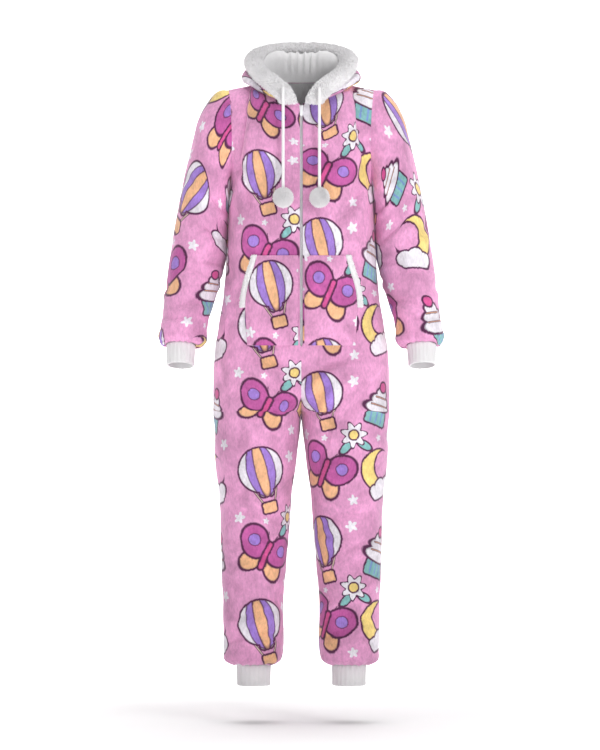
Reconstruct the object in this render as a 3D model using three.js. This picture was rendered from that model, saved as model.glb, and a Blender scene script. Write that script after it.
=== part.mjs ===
// Hooded pajama onesie in plush fleece, filled out as if worn.
// Millimetres, +Z up, the front faces -Y, +X is the wearer's left.
// The origin is the middle of the neck at shoulder height.
import * as THREE from 'three';
import { mergeVertices } from 'three/addons/utils/BufferGeometryUtils.js';

// ---------------------------------------------------------------- driving dimensions
const FLEECE = 3.0; // plush body cloth
const HOOD_CLOTH = 2.2; // the same cloth, drawn out over the hood
const LINING = 1.6; // hood lining
const LINING_GAP = 1.0; // between the hood's two layers
const RIB_CLOTH = 2.2; // cuff ribbing without its ribs
const SEAM = 0.3; // gap between pieces at a seam
const ON_PANEL = 1.3; // gap under what lies on a panel

const ARMPIT_Z = -235;
const CROTCH_TOP_Z = -560;
const FORK_Z = -724;
const ROUNDNESS = 2.3; // 2 is an ellipse, more is squarer
const PANEL_COLUMNS = 8;
// Each long wall is one cut piece of cloth, held in several solids: name ending and last row of each.
const PANEL_PARTS = [['', 10], ['_waist', 14], ['_hips', 20], ['_thigh', 24], ['_shin', 31]];
const SLEEVE_PARTS = [['', 7], ['_forearm', 14]];
const YOKE_STEPS = 10; // rows from the armpit up to the shoulder
const TRUNK_ROWS = [-235, -300, -370, -440, -510, -570, -620, -665, -700, -718, FORK_Z];
const LEG_ROWS = [-762, -830, -910, -1000, -1090, -1170, -1230, -1268, -1290, -1299, -1303];

const ARMHOLE = { middleZ: -109, halfHeight: 124, halfDepth: 66, middleX: 158, endsX: 166 };
const SHOULDER_TIP = [166, 0, 15];
const NECK_SHARE = 0.75; // share of a panel's top edge that is neckline, the rest is shoulder seam
const SHOULDER_TURN = 0.48;
const CENTRE_FRONT = { z: -22, y: -86 };
const CENTRE_BACK = { z: 38, y: 80 };

const ZIP = { bottomZ: -575, edgeX: 3.2, tapeHalf: 14, tapeThick: 1.2, teethHalf: 2.2, teethRise: 2.4 };
const POCKET = { topZ: -369, bottomZ: -573, cornerZ: -486, innerX: 7, topX: 100, cornerX: 126, bottomX: 122 };
const POCKET_BULGE = 5;
const BINDING = { width: 12, thick: 4.2 };
const GATHER = { rise: 4.5 }; // height of the gather waves above a cuff
const RIBS = { count: 22, rise: 1.1 };
const TRIM = { halfWidth: 22, halfThick: 13, sides: 10 };
const CORD = { diameter: 7, sides: 8, x: 41, steps: 16 };
const POMPOM = { radius: 22.5, z: -239, tuftRise: 1.3 };
const SLIDER = { width: 9.5, length: 13, thick: 3, topZ: -27 };
const TAB = { width: 7, length: 21, thick: 1.8 };

// Trunk sections: half width, depth in front and depth behind the side seam.
const TRUNK = [
  { z: -235, half: 165, front: 119, back: 118 },
  { z: -300, half: 166.5, front: 121, back: 113 },
  { z: -370, half: 170, front: 121, back: 108 },
  { z: -440, half: 175, front: 123, back: 112 },
  { z: -510, half: 185, front: 126, back: 124 },
  { z: -570, half: 195, front: 127, back: 133 },
  { z: -620, half: 199.5, front: 125, back: 135 },
  { z: -680, half: 200.5, front: 120, back: 130 },
  { z: -724, half: 200, front: 115, back: 122 },
];

// Leg sections: inseam and outseam distance from the middle, depth in front and behind.
const LEG = [
  { z: -724, inner: 0.4, outer: 200, front: 115, back: 122 },
  { z: -762, inner: 4, outer: 198, front: 110, back: 114 },
  { z: -830, inner: 12, outer: 197, front: 104, back: 107 },
  { z: -910, inner: 23, outer: 187, front: 94, back: 98 },
  { z: -1000, inner: 29, outer: 184, front: 87, back: 91 },
  { z: -1090, inner: 37, outer: 181, front: 80, back: 90 },
  { z: -1170, inner: 43, outer: 178.5, front: 76, back: 87 },
  { z: -1230, inner: 42, outer: 177, front: 73, back: 82 },
  { z: -1268, inner: 42.5, outer: 177, front: 71, back: 79 },
  { z: -1290, inner: 49, outer: 173, front: 64, back: 73 },
  { z: -1299, inner: 58, outer: 162, front: 54, back: 64 },
  { z: -1303, inner: 69.5, outer: 149.5, front: 42, back: 50 },
];

// Neckline from centre back (turn 0) to centre front (turn 1).
const NECKLINE = [
  { turn: 0, x: 0, y: CENTRE_BACK.y, z: CENTRE_BACK.z },
  { turn: 0.14, x: 43, y: 75, z: 38 },
  { turn: 0.28, x: 82, y: 55, z: 37 },
  { turn: 0.42, x: 108, y: 20, z: 31 },
  { turn: 0.56, x: 109, y: -22, z: 19 },
  { turn: 0.7, x: 91, y: -55, z: 5 },
  { turn: 0.85, x: 52, y: -77, z: -12 },
  { turn: 1, x: 0, y: CENTRE_FRONT.y, z: CENTRE_FRONT.z },
];

// Sleeve sections: outer and inner ends of each ring, its half depth, its place in y
// and the degrees that it tips forward.
const SLEEVE = [
  { outerX: 193, outerZ: 9, innerX: 168.3, innerZ: -246, depth: 71, y: 0, tip: 0 },
  { outerX: 217, outerZ: -18, innerX: 169.5, innerZ: -258, depth: 74, y: 0, tip: 0 },
  { outerX: 235, outerZ: -53, innerX: 170, innerZ: -272, depth: 75, y: 1, tip: 0 },
  { outerX: 248, outerZ: -102, innerX: 170.8, innerZ: -290, depth: 75, y: 3, tip: 0 },
  { outerX: 263, outerZ: -165, innerX: 172, innerZ: -312, depth: 74, y: 5, tip: 0 },
  { outerX: 278, outerZ: -237, innerX: 173.5, innerZ: -340, depth: 72, y: 6, tip: 2 },
  { outerX: 292, outerZ: -315, innerX: 177, innerZ: -378, depth: 69, y: 4, tip: 5 },
  { outerX: 301, outerZ: -378, innerX: 184, innerZ: -415, depth: 66, y: -3, tip: 9 },
  { outerX: 309, outerZ: -436, innerX: 195, innerZ: -453, depth: 62, y: -13, tip: 11 },
  { outerX: 314, outerZ: -486, innerX: 208, innerZ: -494, depth: 58, y: -24, tip: 13 },
  { outerX: 319, outerZ: -527, innerX: 217, innerZ: -531, depth: 56, y: -34, tip: 13 },
  { outerX: 322, outerZ: -552, innerX: 220, innerZ: -556, depth: 54, y: -40, tip: 13 },
  { outerX: 317, outerZ: -566, innerX: 228, innerZ: -569, depth: 48, y: -43, tip: 13 },
  { outerX: 309, outerZ: -570, innerX: 241, innerZ: -572, depth: 38, y: -44, tip: 13 },
];

// Centre line of the hood's plush edge band, with the direction that its face looks.
const BAND = [
  { turn: 0, x: 0, y: 159, z: 126, faceY: -0.35, faceZ: 0.94 },
  { turn: 0.14, x: 50, y: 150, z: 124, faceY: -0.38, faceZ: 0.92 },
  { turn: 0.28, x: 91, y: 115, z: 112, faceY: -0.42, faceZ: 0.9 },
  { turn: 0.42, x: 109, y: 62, z: 93, faceY: -0.5, faceZ: 0.86 },
  { turn: 0.56, x: 107, y: 8, z: 70, faceY: -0.6, faceZ: 0.8 },
  { turn: 0.7, x: 89, y: -42, z: 44, faceY: -0.76, faceZ: 0.65 },
  { turn: 0.82, x: 68, y: -74, z: 26, faceY: -0.86, faceZ: 0.5 },
  { turn: 0.91, x: 47, y: -92, z: 7, faceY: -0.93, faceZ: 0.36 },
  { turn: 0.96, x: 36, y: -99, z: -7, faceY: -0.97, faceZ: 0.25 },
  { turn: 1, x: 29.5, y: -102, z: -21, faceY: -0.98, faceZ: 0.2 },
];

// The dropped hood behind the neck, from the neck seam to the band at centre back.
const HOOD_FOLD = [
  { out: 0, up: 0 },
  { out: 2, up: 30 },
  { out: 6, up: 54 },
  { out: 15, up: 66 },
  { out: 26, up: 58 },
  { out: 32, up: 28 },
  { out: 37, up: -24 },
  { out: 44, up: -78 },
  { out: 60, up: -118 },
  { out: 82, up: -130 },
  { out: 102, up: -112 },
  { out: 114, up: -68 },
  { out: 114, up: -14 },
  { out: 98, up: 37 },
  { out: 83, up: 73 },
];
const HOOD_TURNS = [0, 0.08, 0.16, 0.24, 0.32, 0.4, 0.48, 0.5667, 0.6533, 0.74, 0.8267, 0.9133];
const HOOD_SIDE_BULGE = 30;

// Each drawstring leaves its eyelet in the band and turns down over the band's face.
const CORD_EXIT = [
  { y: -107.4, z: 10.4 },
  { y: -112, z: 9 },
  { y: -116, z: 4.5 },
  { y: -118.6, z: -4 },
  { y: -119.6, z: -14 },
];

// Broad folds of the cloth: where (share round the half section and height), size and lean.
const FOLDS = [
  { u: 0.26, z: -330, wide: 0.05, tall: 120, rise: 6, lean: 0.0006 },
  { u: 0.14, z: -655, wide: 0.08, tall: 45, rise: 7, lean: 0.0022 },
  { u: 0.3, z: -1010, wide: 0.12, tall: 32, rise: 6, lean: 0.0 },
  { u: 0.22, z: -1200, wide: 0.14, tall: 28, rise: 5, lean: 0.0 },
  { u: 0.74, z: -330, wide: 0.05, tall: 120, rise: 6, lean: -0.0006 },
  { u: 0.84, z: -690, wide: 0.08, tall: 40, rise: 7, lean: -0.002 },
  { u: 0.72, z: -1030, wide: 0.12, tall: 32, rise: 6, lean: 0.0 },
  { u: 0.78, z: -1190, wide: 0.14, tall: 28, rise: 5, lean: 0.0 },
];

// ---------------------------------------------------------------- small helpers
const add = (a, b, k = 1) => [a[0] + b[0] * k, a[1] + b[1] * k, a[2] + b[2] * k];
const mix = (a, b, t) => a.map((v, i) => v + (b[i] - v) * t);
const cross = (a, b) => [
  a[1] * b[2] - a[2] * b[1],
  a[2] * b[0] - a[0] * b[2],
  a[0] * b[1] - a[1] * b[0],
];
const unit = (a) => {
  const length = Math.hypot(...a) || 1;
  return a.map((v) => v / length);
};
const clamp = (v, low = 0, high = 1) => Math.min(high, Math.max(low, v));
const smooth = (low, high, v) => {
  const t = clamp((v - low) / (high - low));
  return t * t * (3 - 2 * t);
};

// A smooth curve through the rows of a table, read at one value of its first column.
function readTable(table, key, at, names) {
  const rows = table[0][key] < table[table.length - 1][key] ? table : [...table].reverse();
  const value = clamp(at, rows[0][key], rows[rows.length - 1][key]);
  let i = rows.findIndex((row, k) => k > 0 && value <= row[key]) - 1;
  i = Math.max(0, i);
  const [a, b] = [rows[i], rows[i + 1]];
  const [before, after] = [rows[Math.max(0, i - 1)], rows[Math.min(rows.length - 1, i + 2)]];
  const span = b[key] - a[key];
  const t = (value - a[key]) / span;
  return names.map((name) => {
    const slopeA = ((b[name] - before[name]) / (b[key] - before[key])) * span;
    const slopeB = ((after[name] - a[name]) / (after[key] - a[key])) * span;
    const [t2, t3] = [t * t, t * t * t];
    return (2 * t3 - 3 * t2 + 1) * a[name] + (t3 - 2 * t2 + t) * slopeA
      + (3 * t2 - 2 * t3) * b[name] + (t3 - t2) * slopeB;
  });
}

const mirrored = (p) => [-p[0], p[1], p[2]];

// Unit normals of a grid of points; sign 1 or -1 turns them outward.
function gridNormals(grid, closed, sign) {
  const rows = grid.length;
  const columns = grid[0].length;
  return grid.map((row, j) => row.map((_, i) => {
    const left = closed ? grid[j][(i + columns - 1) % columns] : grid[j][Math.max(0, i - 1)];
    const right = closed ? grid[j][(i + 1) % columns] : grid[j][Math.min(columns - 1, i + 1)];
    const up = grid[Math.max(0, j - 1)][i];
    const down = grid[Math.min(rows - 1, j + 1)][i];
    const normal = unit(cross(add(right, left, -1), add(down, up, -1)));
    return normal.map((v) => v * sign);
  }));
}

const offsetGrid = (grid, normals, distance) =>
  grid.map((row, j) => row.map((p, i) => add(p, normals[j][i], distance)));

// A closed wall between two grids of the same size.
function wallGeometry(outer, inner, closed) {
  const rows = outer.length;
  const columns = outer[0].length;
  const positions = [...outer.flat(), ...inner.flat()].flat();
  const at = (side, j, i) => side * rows * columns + j * columns + (i % columns);
  const index = [];
  const quad = (a, b, c, d) => index.push(a, b, c, a, c, d);
  const last = closed ? columns : columns - 1;
  for (let j = 0; j < rows - 1; j += 1) {
    for (let i = 0; i < last; i += 1) {
      quad(at(0, j, i), at(0, j, i + 1), at(0, j + 1, i + 1), at(0, j + 1, i));
      quad(at(1, j, i), at(1, j + 1, i), at(1, j + 1, i + 1), at(1, j, i + 1));
    }
  }
  for (let i = 0; i < last; i += 1) {
    quad(at(0, 0, i + 1), at(0, 0, i), at(1, 0, i), at(1, 0, i + 1));
    quad(at(0, rows - 1, i), at(0, rows - 1, i + 1), at(1, rows - 1, i + 1), at(1, rows - 1, i));
  }
  if (!closed) {
    for (let j = 0; j < rows - 1; j += 1) {
      quad(at(0, j, 0), at(0, j + 1, 0), at(1, j + 1, 0), at(1, j, 0));
      quad(at(0, j + 1, columns - 1), at(0, j, columns - 1), at(1, j, columns - 1),
        at(1, j + 1, columns - 1));
    }
  }
  return facingOut(positions, index);
}

// A closed tube body through rings of points, with flat ends.
function loftGeometry(rings) {
  const columns = rings[0].length;
  const positions = rings.flat().flat();
  const index = [];
  for (let j = 0; j < rings.length - 1; j += 1) {
    for (let i = 0; i < columns; i += 1) {
      const [a, b] = [j * columns + i, j * columns + ((i + 1) % columns)];
      index.push(a, b, b + columns, a, b + columns, a + columns);
    }
  }
  const lastRing = (rings.length - 1) * columns;
  for (let i = 1; i < columns - 1; i += 1) {
    index.push(0, i + 1, i, lastRing, lastRing + i, lastRing + i + 1);
  }
  return facingOut(positions, index);
}

// Turns every triangle round when the body's volume comes out negative.
function facingOut(positions, index) {
  let volume = 0;
  const p = (k) => new THREE.Vector3(...positions.slice(3 * k, 3 * k + 3));
  for (let k = 0; k < index.length; k += 3) {
    volume += p(index[k]).dot(p(index[k + 1]).cross(p(index[k + 2])));
  }
  if (volume < 0) {
    for (let k = 0; k < index.length; k += 3) {
      [index[k], index[k + 1]] = [index[k + 1], index[k]];
    }
  }
  const geometry = new THREE.BufferGeometry();
  geometry.setAttribute('position', new THREE.Float32BufferAttribute(positions, 3));
  geometry.setIndex(index);
  geometry.computeVertexNormals();
  return geometry;
}

const group = new THREE.Group();
function piece(name, geometry, color, roughness, metalness = 0) {
  const material = new THREE.MeshStandardMaterial({ color, roughness, metalness });
  const mesh = new THREE.Mesh(geometry, material);
  mesh.name = name;
  group.add(mesh);
}
const PINK = 0xe58fc4;
const WHITE = 0xf4f2f0;
const SILVER = 0xc9c9cc;

// ---------------------------------------------------------------- body panels
const neckPoint = (turn) => readTable(NECKLINE, 'turn', turn, ['x', 'y', 'z']);

// The armhole: angle 0 is the shoulder tip, PI the armpit; side is -1 in front, 1 behind.
function armholePoint(angle, side) {
  const { middleZ, halfHeight, halfDepth, middleX, endsX } = ARMHOLE;
  const rise = Math.cos(angle);
  const bow = rise > 0 ? Math.sin(angle) : Math.sin(angle) ** 2;
  return [
    middleX + (endsX - middleX) * rise * rise,
    side * halfDepth * bow,
    middleZ + halfHeight * rise,
  ];
}

// One point of a horizontal section: u runs from centre front or inseam (0) by the side
// seam (0.5) to centre back or inseam (1).
function sectionPoint(u, z) {
  let inner = 0;
  let centre;
  let half;
  let share;
  let depths;
  if (z > FORK_Z) {
    const [outer, front, back] = readTable(TRUNK, 'z', z, ['half', 'front', 'back']);
    share = clamp((CROTCH_TOP_Z - z) / (CROTCH_TOP_Z - FORK_Z)) ** 1.6;
    half = outer / (1 + share);
    centre = half * share;
    depths = [front, back];
  } else {
    const [innerX, outer, front, back] = readTable(LEG, 'z', z, ['inner', 'outer', 'front', 'back']);
    share = 1;
    inner = innerX;
    half = (outer - innerX) / 2;
    centre = half;
    depths = [front, back];
  }
  const edge = Math.atan2((1 - Math.min(1, share ** ROUNDNESS)) ** (1 / ROUNDNESS), -share);
  const angle = edge * Math.abs(2 * u - 1);
  const reach = (Math.abs(Math.cos(angle)) ** ROUNDNESS
    + Math.abs(Math.sin(angle)) ** ROUNDNESS) ** (-1 / ROUNDNESS);
  const depth = u < 0.5 ? -depths[0] : depths[1];
  const rise = foldRise(u, z);
  return [
    inner + centre + (half + rise) * reach * Math.cos(angle),
    (Math.abs(depth) + rise) * Math.sign(depth) * reach * Math.sin(angle),
    z,
  ];
}

function foldRise(u, z) {
  let rise = 0;
  for (const fold of FOLDS) {
    const along = (z - fold.z) / fold.tall;
    const across = (u - fold.u - fold.lean * (z - fold.z)) / fold.wide;
    rise += fold.rise * Math.exp(-along * along - across * across);
  }
  const ends = smooth(0, 0.05, u) * smooth(0, 0.05, 1 - u) * smooth(-1290, -1230, z);
  return rise * ends * smooth(0, 0.04, Math.abs(u - 0.5));
}

// Above the armpit each panel fills the space between its four edges.
function yokePoint(share, v, side) {
  const bottom = (s) => sectionPoint(side < 0 ? s / 2 : 1 - s / 2, ARMPIT_Z);
  const top = (s) => {
    const startTurn = side < 0 ? 1 : 0;
    if (s <= NECK_SHARE) {
      return neckPoint(startTurn + (SHOULDER_TURN - startTurn) * (s / NECK_SHARE));
    }
    return mix(neckPoint(SHOULDER_TURN), SHOULDER_TIP, (s - NECK_SHARE) / (1 - NECK_SHARE));
  };
  const centre = (t) => {
    const end = side < 0 ? CENTRE_FRONT : CENTRE_BACK;
    const start = bottom(0);
    const y = start[1] + (end.y - start[1]) * t ** 1.9;
    return [0, y, start[2] + (end.z - start[2]) * t];
  };
  const arm = (t) => armholePoint(Math.PI * (1 - t), side);
  const corners = mix(mix(bottom(0), bottom(1), share), mix(top(0), top(1), share), v);
  const across = mix(centre(v), arm(v), share);
  const along = mix(bottom(share), top(share), v);
  return add(add(across, along), corners, -1);
}

function panelGrid(side) {
  const grid = [];
  for (let j = 0; j < YOKE_STEPS; j += 1) {
    grid.push(columnShares().map((share) => yokePoint(share, 1 - j / YOKE_STEPS, side)));
  }
  for (const z of [...TRUNK_ROWS, ...LEG_ROWS]) {
    grid.push(columnShares().map((share) => {
      const p = sectionPoint(side < 0 ? share / 2 : 1 - share / 2, z);
      const gather = GATHER.rise * smooth(-1262, -1290, z) * smooth(-1303.5, -1299, z);
      const wave = Math.sin(share * Math.PI * PANEL_COLUMNS + Math.PI / 2) * gather * 0.5;
      return z < FORK_Z ? add(p, legOutward(p, z), wave) : p;
    }));
  }
  return grid.map((row) => row.map((p, i) => {
    const openZip = side < 0 && i === 0 ? ZIP.edgeX * smooth(ZIP.bottomZ - 25, ZIP.bottomZ, p[2]) : 0;
    return add(p, [SEAM / 2 + openZip, side * SEAM / 2, 0]);
  }));
}

function legOutward(p, z) {
  const [innerX, outer] = readTable(LEG, 'z', z, ['inner', 'outer']);
  return unit([p[0] - (innerX + outer) / 2, p[1], 0]);
}

const columnShares = () => Array.from({ length: PANEL_COLUMNS + 1 }, (_, i) => i / PANEL_COLUMNS);

const frontGrid = panelGrid(-1);
const backGrid = panelGrid(1);

// Edge normals are kept in the plane of their seam, so that the rims of two pieces match.
function seamNormals(grid, sign) {
  const normals = gridNormals(grid, false, sign);
  const last = PANEL_COLUMNS;
  normals.forEach((row, j) => {
    const z = grid[j][0][2];
    const yoke = j < YOKE_STEPS;
    if (!yoke) {
      row[last] = unit([row[last][0], 0, row[last][2]]);
    }
    if (z > CROTCH_TOP_Z) {
      row[0] = unit([0, row[0][1], row[0][2]]);
    } else if (z < FORK_Z + 1) {
      row[0] = unit([row[0][0], 0, row[0][2]]);
    }
    if (j === 0) {
      for (let i = Math.round(NECK_SHARE * last); i <= last; i += 1) {
        row[i] = unit([row[i][0], 0, row[i][2]]);
      }
    }
  });
  return normals;
}
const frontNormals = seamNormals(frontGrid, -1);
const backNormals = seamNormals(backGrid, 1);

function addBothSides(name, outer, inner, closed, color, roughness) {
  piece(`${name}_left`, wallGeometry(outer, inner, closed), color, roughness);
  const flip = (grid) => grid.map((row) => row.map(mirrored));
  piece(`${name}_right`, wallGeometry(flip(outer), flip(inner), closed), color, roughness);
}
// The solids of one long wall, each starting a seam's gap below the last.
function addInParts(name, outer, normals, closed, parts) {
  const inner = offsetGrid(outer, normals, -FLEECE);
  const lowered = (grid, j) => grid[j].map((p, i) => add(p, unit(add(grid[j + 1][i], p, -1)), SEAM));
  let first = 0;
  for (const [ending, last] of parts) {
    const rows = (grid) => [
      first === 0 ? grid[0] : lowered(grid, first),
      ...grid.slice(first + 1, last + 1),
    ];
    addBothSides(`${name}${ending}`, rows(outer), rows(inner), closed, PINK, 0.9);
    first = last;
  }
}
addInParts('front', frontGrid, frontNormals, false, PANEL_PARTS);
addInParts('back', backGrid, backNormals, false, PANEL_PARTS);

// ---------------------------------------------------------------- sleeves
// A ring of the sleeve from one row of its table; angle 0 is the outer end.
function sleeveRing(row, columns, swell) {
  const centre = [(row.outerX + row.innerX) / 2, row.y, (row.outerZ + row.innerZ) / 2];
  const halfAxis = [(row.outerX - row.innerX) / 2, 0, (row.outerZ - row.innerZ) / 2];
  const half = Math.hypot(...halfAxis);
  const across = unit(halfAxis);
  const tip = (row.tip * Math.PI) / 180;
  const deep = [0, -Math.cos(tip), Math.sin(tip)];
  return Array.from({ length: columns }, (_, i) => {
    const angle = (2 * Math.PI * i) / columns;
    const more = swell(i);
    const p = add(centre, across, (half + more) * Math.cos(angle));
    return add(p, deep, (row.depth + more) * Math.sin(angle));
  });
}

const SLEEVE_COLUMNS = 2 * YOKE_STEPS;
function sleeveGrid(gathered) {
  const first = Array.from({ length: SLEEVE_COLUMNS }, (_, i) => {
    const angle = (2 * Math.PI * i) / SLEEVE_COLUMNS;
    const side = angle < Math.PI ? -1 : 1;
    return add(armholePoint(angle < Math.PI ? angle : 2 * Math.PI - angle, side), [SEAM + 0.1, 0, 0]);
  });
  const rings = SLEEVE.map((row, j) => {
    const gather = gathered && j >= SLEEVE.length - 3 && j < SLEEVE.length - 1 ? GATHER.rise : 0;
    return sleeveRing(row, SLEEVE_COLUMNS, (i) => (i % 2 ? -gather / 2 : gather / 2));
  });
  return [first, ...rings];
}
const sleeveOuter = sleeveGrid(true);
const sleeveNormals = gridNormals(sleeveOuter, true, 1);
addInParts('sleeve', sleeveOuter, sleeveNormals, true, SLEEVE_PARTS);

// ---------------------------------------------------------------- ribbed cuffs
// Rings of a cuff along its axis: ribs are raised outside over a plain inside.
function cuffWalls(end, length, narrowing) {
  const columns = RIBS.count * 2;
  const levels = [0, 0.93, 1];
  const ring = (share, rib, thin) => sleeveRing({
    ...end,
    outerX: end.outerX + end.axis[0] * length * share - narrowing * share,
    innerX: end.innerX + end.axis[0] * length * share + narrowing * share,
    outerZ: end.outerZ + end.axis[2] * length * share,
    innerZ: end.innerZ + end.axis[2] * length * share,
    y: end.y + end.axis[1] * length * share,
    depth: end.depth - narrowing * share,
  }, columns, (i) => (i % 2 ? 0 : rib) - thin);
  const outer = levels.map((share) => ring(share, share > 0.95 ? 0 : RIBS.rise, 0));
  const inner = levels.map((share) => ring(share, 0, RIB_CLOTH));
  return [outer, inner];
}

const wristTip = (13 * Math.PI) / 180;
const wristEnd = {
  ...SLEEVE[SLEEVE.length - 1],
  axis: unit([0.02, -Math.sin(wristTip), -Math.cos(wristTip)]),
};
wristEnd.outerX -= 1.2;
wristEnd.innerX += 1.2;
wristEnd.depth -= 1.2;
wristEnd.outerZ += wristEnd.axis[2] * (SEAM + 0.1);
wristEnd.innerZ += wristEnd.axis[2] * (SEAM + 0.1);
wristEnd.y += wristEnd.axis[1] * (SEAM + 0.1);
addBothSides('wrist_cuff', ...cuffWalls(wristEnd, 48, 3), true, WHITE, 0.85);

const legEnd = LEG[LEG.length - 1];
const ankleEnd = {
  outerX: legEnd.outer - 1.2,
  innerX: legEnd.inner + 1.2,
  outerZ: legEnd.z - SEAM,
  innerZ: legEnd.z - SEAM,
  depth: (legEnd.front + legEnd.back) / 2 - 1.2,
  y: (legEnd.back - legEnd.front) / 2,
  tip: 0,
  axis: [0, 0, -1],
};
addBothSides('ankle_cuff', ...cuffWalls(ankleEnd, 49, 2), true, WHITE, 0.85);

// ---------------------------------------------------------------- hood
const bandRow = (turn) => {
  const [x, y, z, faceY, faceZ] = readTable(BAND, 'turn', turn, ['x', 'y', 'z', 'faceY', 'faceZ']);
  return { centre: [x, y, z], face: unit([0.1 * smooth(0, 0.4, turn), faceY, faceZ]) };
};

function foldPoint(step) {
  const at = HOOD_FOLD.map((row, i) => ({ ...row, i }));
  return readTable(at, 'i', step, ['out', 'up']);
}

// The pink face of the hood between the neckline and the band. At the sides it is one
// bow outward; behind the neck it follows the fold table.
function hoodPoint(turn, step) {
  const last = HOOD_FOLD.length - 1;
  const share = step / last;
  const foot = add(neckPoint(turn), [0, 0, SEAM + 0.1]);
  const band = bandRow(turn);
  const end = add(band.centre, band.face, -(TRIM.halfThick + SEAM + 0.5));
  const angle = Math.PI * turn;
  const outward = [Math.sin(angle), Math.cos(angle), 0];
  const bow = HOOD_SIDE_BULGE * smooth(1.02, 0.5, turn);
  const leave = add(add(foot, [0, 0, 17]), outward, bow * 0.75);
  const arrive = add(add(end, band.face, -12), outward, bow * 1.15);
  const left = 1 - share;
  const [a, b, c, d] = [left ** 3, 3 * share * left ** 2, 3 * share ** 2 * left, share ** 3];
  const bowed = [0, 1, 2].map((k) => foot[k] * a + leave[k] * b + arrive[k] * c + end[k] * d);
  const crownWeight = 1 - smooth(0.16, 0.41, turn);
  const pouchWeight = 1 - smooth(0.04, 0.41, turn);
  const weight = crownWeight + (pouchWeight - crownWeight) * smooth(3.5, 6, step);
  const [out, up] = foldPoint(step);
  const [lastOut, lastUp] = foldPoint(last);
  const folded = add(add(foot, outward, out), [0, 0, up]);
  const missed = add(add(end, add(foot, outward, lastOut), -1), [0, 0, -lastUp]);
  return mix(bowed, add(folded, missed, share ** 3), weight);
}

// Evens out the side bows, so that the lining inside them doesn't crowd.
function relaxed(grid) {
  const firstBow = HOOD_TURNS.findIndex((turn) => turn > 0.35);
  return grid.map((row, j) => row.map((p, i) => {
    if (i < firstBow || j === 0 || j === grid.length - 1) {
      return p;
    }
    return mix(p, mix(grid[j - 1][i], grid[j + 1][i], 0.5), 0.6);
  }));
}

const hoodFace = relaxed(relaxed(relaxed(HOOD_FOLD.map((_, step) => HOOD_TURNS.map((turn) => {
  const p = hoodPoint(turn, step);
  return turn === 0 ? [SEAM / 2, p[1], p[2]] : p;
})))));
// Wall directions: level at the neck seam, square to the band's face at the band.
const hoodNormals = gridNormals(hoodFace, false, -1).map((row, j) => row.map((own, i) => {
  const normal = i === row.length - 1 ? row[i - 1] : own;
  const angle = Math.PI * HOOD_TURNS[i];
  const level = [Math.sin(angle), Math.cos(angle), 0];
  let n = mix(level, normal, Math.min(1, j));
  if (j === HOOD_FOLD.length - 1) {
    const { face } = bandRow(HOOD_TURNS[i]);
    n = add(n, face, -(n[0] * face[0] + n[1] * face[1] + n[2] * face[2]));
  }
  return unit(i === 0 ? [0, n[1], n[2]] : n);
}));

addBothSides('hood', hoodFace, offsetGrid(hoodFace, hoodNormals, -HOOD_CLOTH), false, PINK, 0.9);
addBothSides(
  'hood_lining',
  offsetGrid(hoodFace, hoodNormals, -HOOD_CLOTH - LINING_GAP),
  offsetGrid(hoodFace, hoodNormals, -HOOD_CLOTH - LINING_GAP - LINING),
  false,
  WHITE,
  0.95,
);

// The plush band round the hood's edge, one roll from end to end.
function bandRings() {
  const turns = [];
  for (let k = 0; k <= 20; k += 1) {
    turns.push(1 - k / 20);
  }
  const half = turns.map((turn) => {
    const { centre, face } = bandRow(turn);
    const ahead = bandRow(Math.max(0, turn - 0.01)).centre;
    const behind = bandRow(Math.min(1, turn + 0.01)).centre;
    const along = turn < 0.01 ? [-1, 0, 0] : unit(add(ahead, behind, -1));
    const level = smooth(0.9, 1, turn);
    const across = unit(mix(unit(cross(face, along)), [-1, 0, 0], level));
    const normal = unit(cross(along, across));
    const facing = normal[1] * face[1] + normal[2] * face[2] < 0 ? normal.map((v) => -v) : normal;
    return { centre, across, facing };
  });
  const left = half.map(({ centre, across, facing }) => Array.from({ length: TRIM.sides }, (_, i) => {
    const angle = (2 * Math.PI * i) / TRIM.sides;
    const p = add(centre, across, TRIM.halfWidth * Math.cos(angle));
    return add(p, facing, TRIM.halfThick * Math.sin(angle));
  }));
  const right = left.slice(0, -1).reverse().map((ring) => ring.map(mirrored));
  return [...left, ...right];
}
piece('hood_band', loftGeometry(bandRings()), WHITE, 0.95);

// ---------------------------------------------------------------- pockets
// A point over a front panel, from its distance from the middle and height.
const zipRow = frontGrid.map((row) => row[0][2]);
function overFront(x, z, lift) {
  let j = zipRow.findIndex((rowZ) => rowZ <= z) - 1;
  j = clamp(j, 0, zipRow.length - 2);
  const t = (z - zipRow[j]) / (zipRow[j + 1] - zipRow[j]);
  const row = frontGrid[j].map((p, i) => mix(p, frontGrid[j + 1][i], t));
  const normals = frontNormals[j].map((p, i) => mix(p, frontNormals[j + 1][i], t));
  let i = row.findIndex((p) => p[0] >= x) - 1;
  i = clamp(i, 0, row.length - 2);
  const s = (x - row[i][0]) / (row[i + 1][0] - row[i][0]);
  return add(mix(row[i], row[i + 1], s), unit(mix(normals[i], normals[i + 1], s)), lift);
}

// Outer edge of a pocket at a height: the slanted mouth, then the side.
function pocketEdge(z) {
  if (z > POCKET.cornerZ) {
    const t = (POCKET.topZ - z) / (POCKET.topZ - POCKET.cornerZ);
    return POCKET.topX + (POCKET.cornerX - POCKET.topX) * Math.sin((t * Math.PI) / 2) ** 1.2;
  }
  const t = (POCKET.cornerZ - z) / (POCKET.cornerZ - POCKET.bottomZ);
  return POCKET.cornerX + (POCKET.bottomX - POCKET.cornerX) * t;
}

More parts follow.
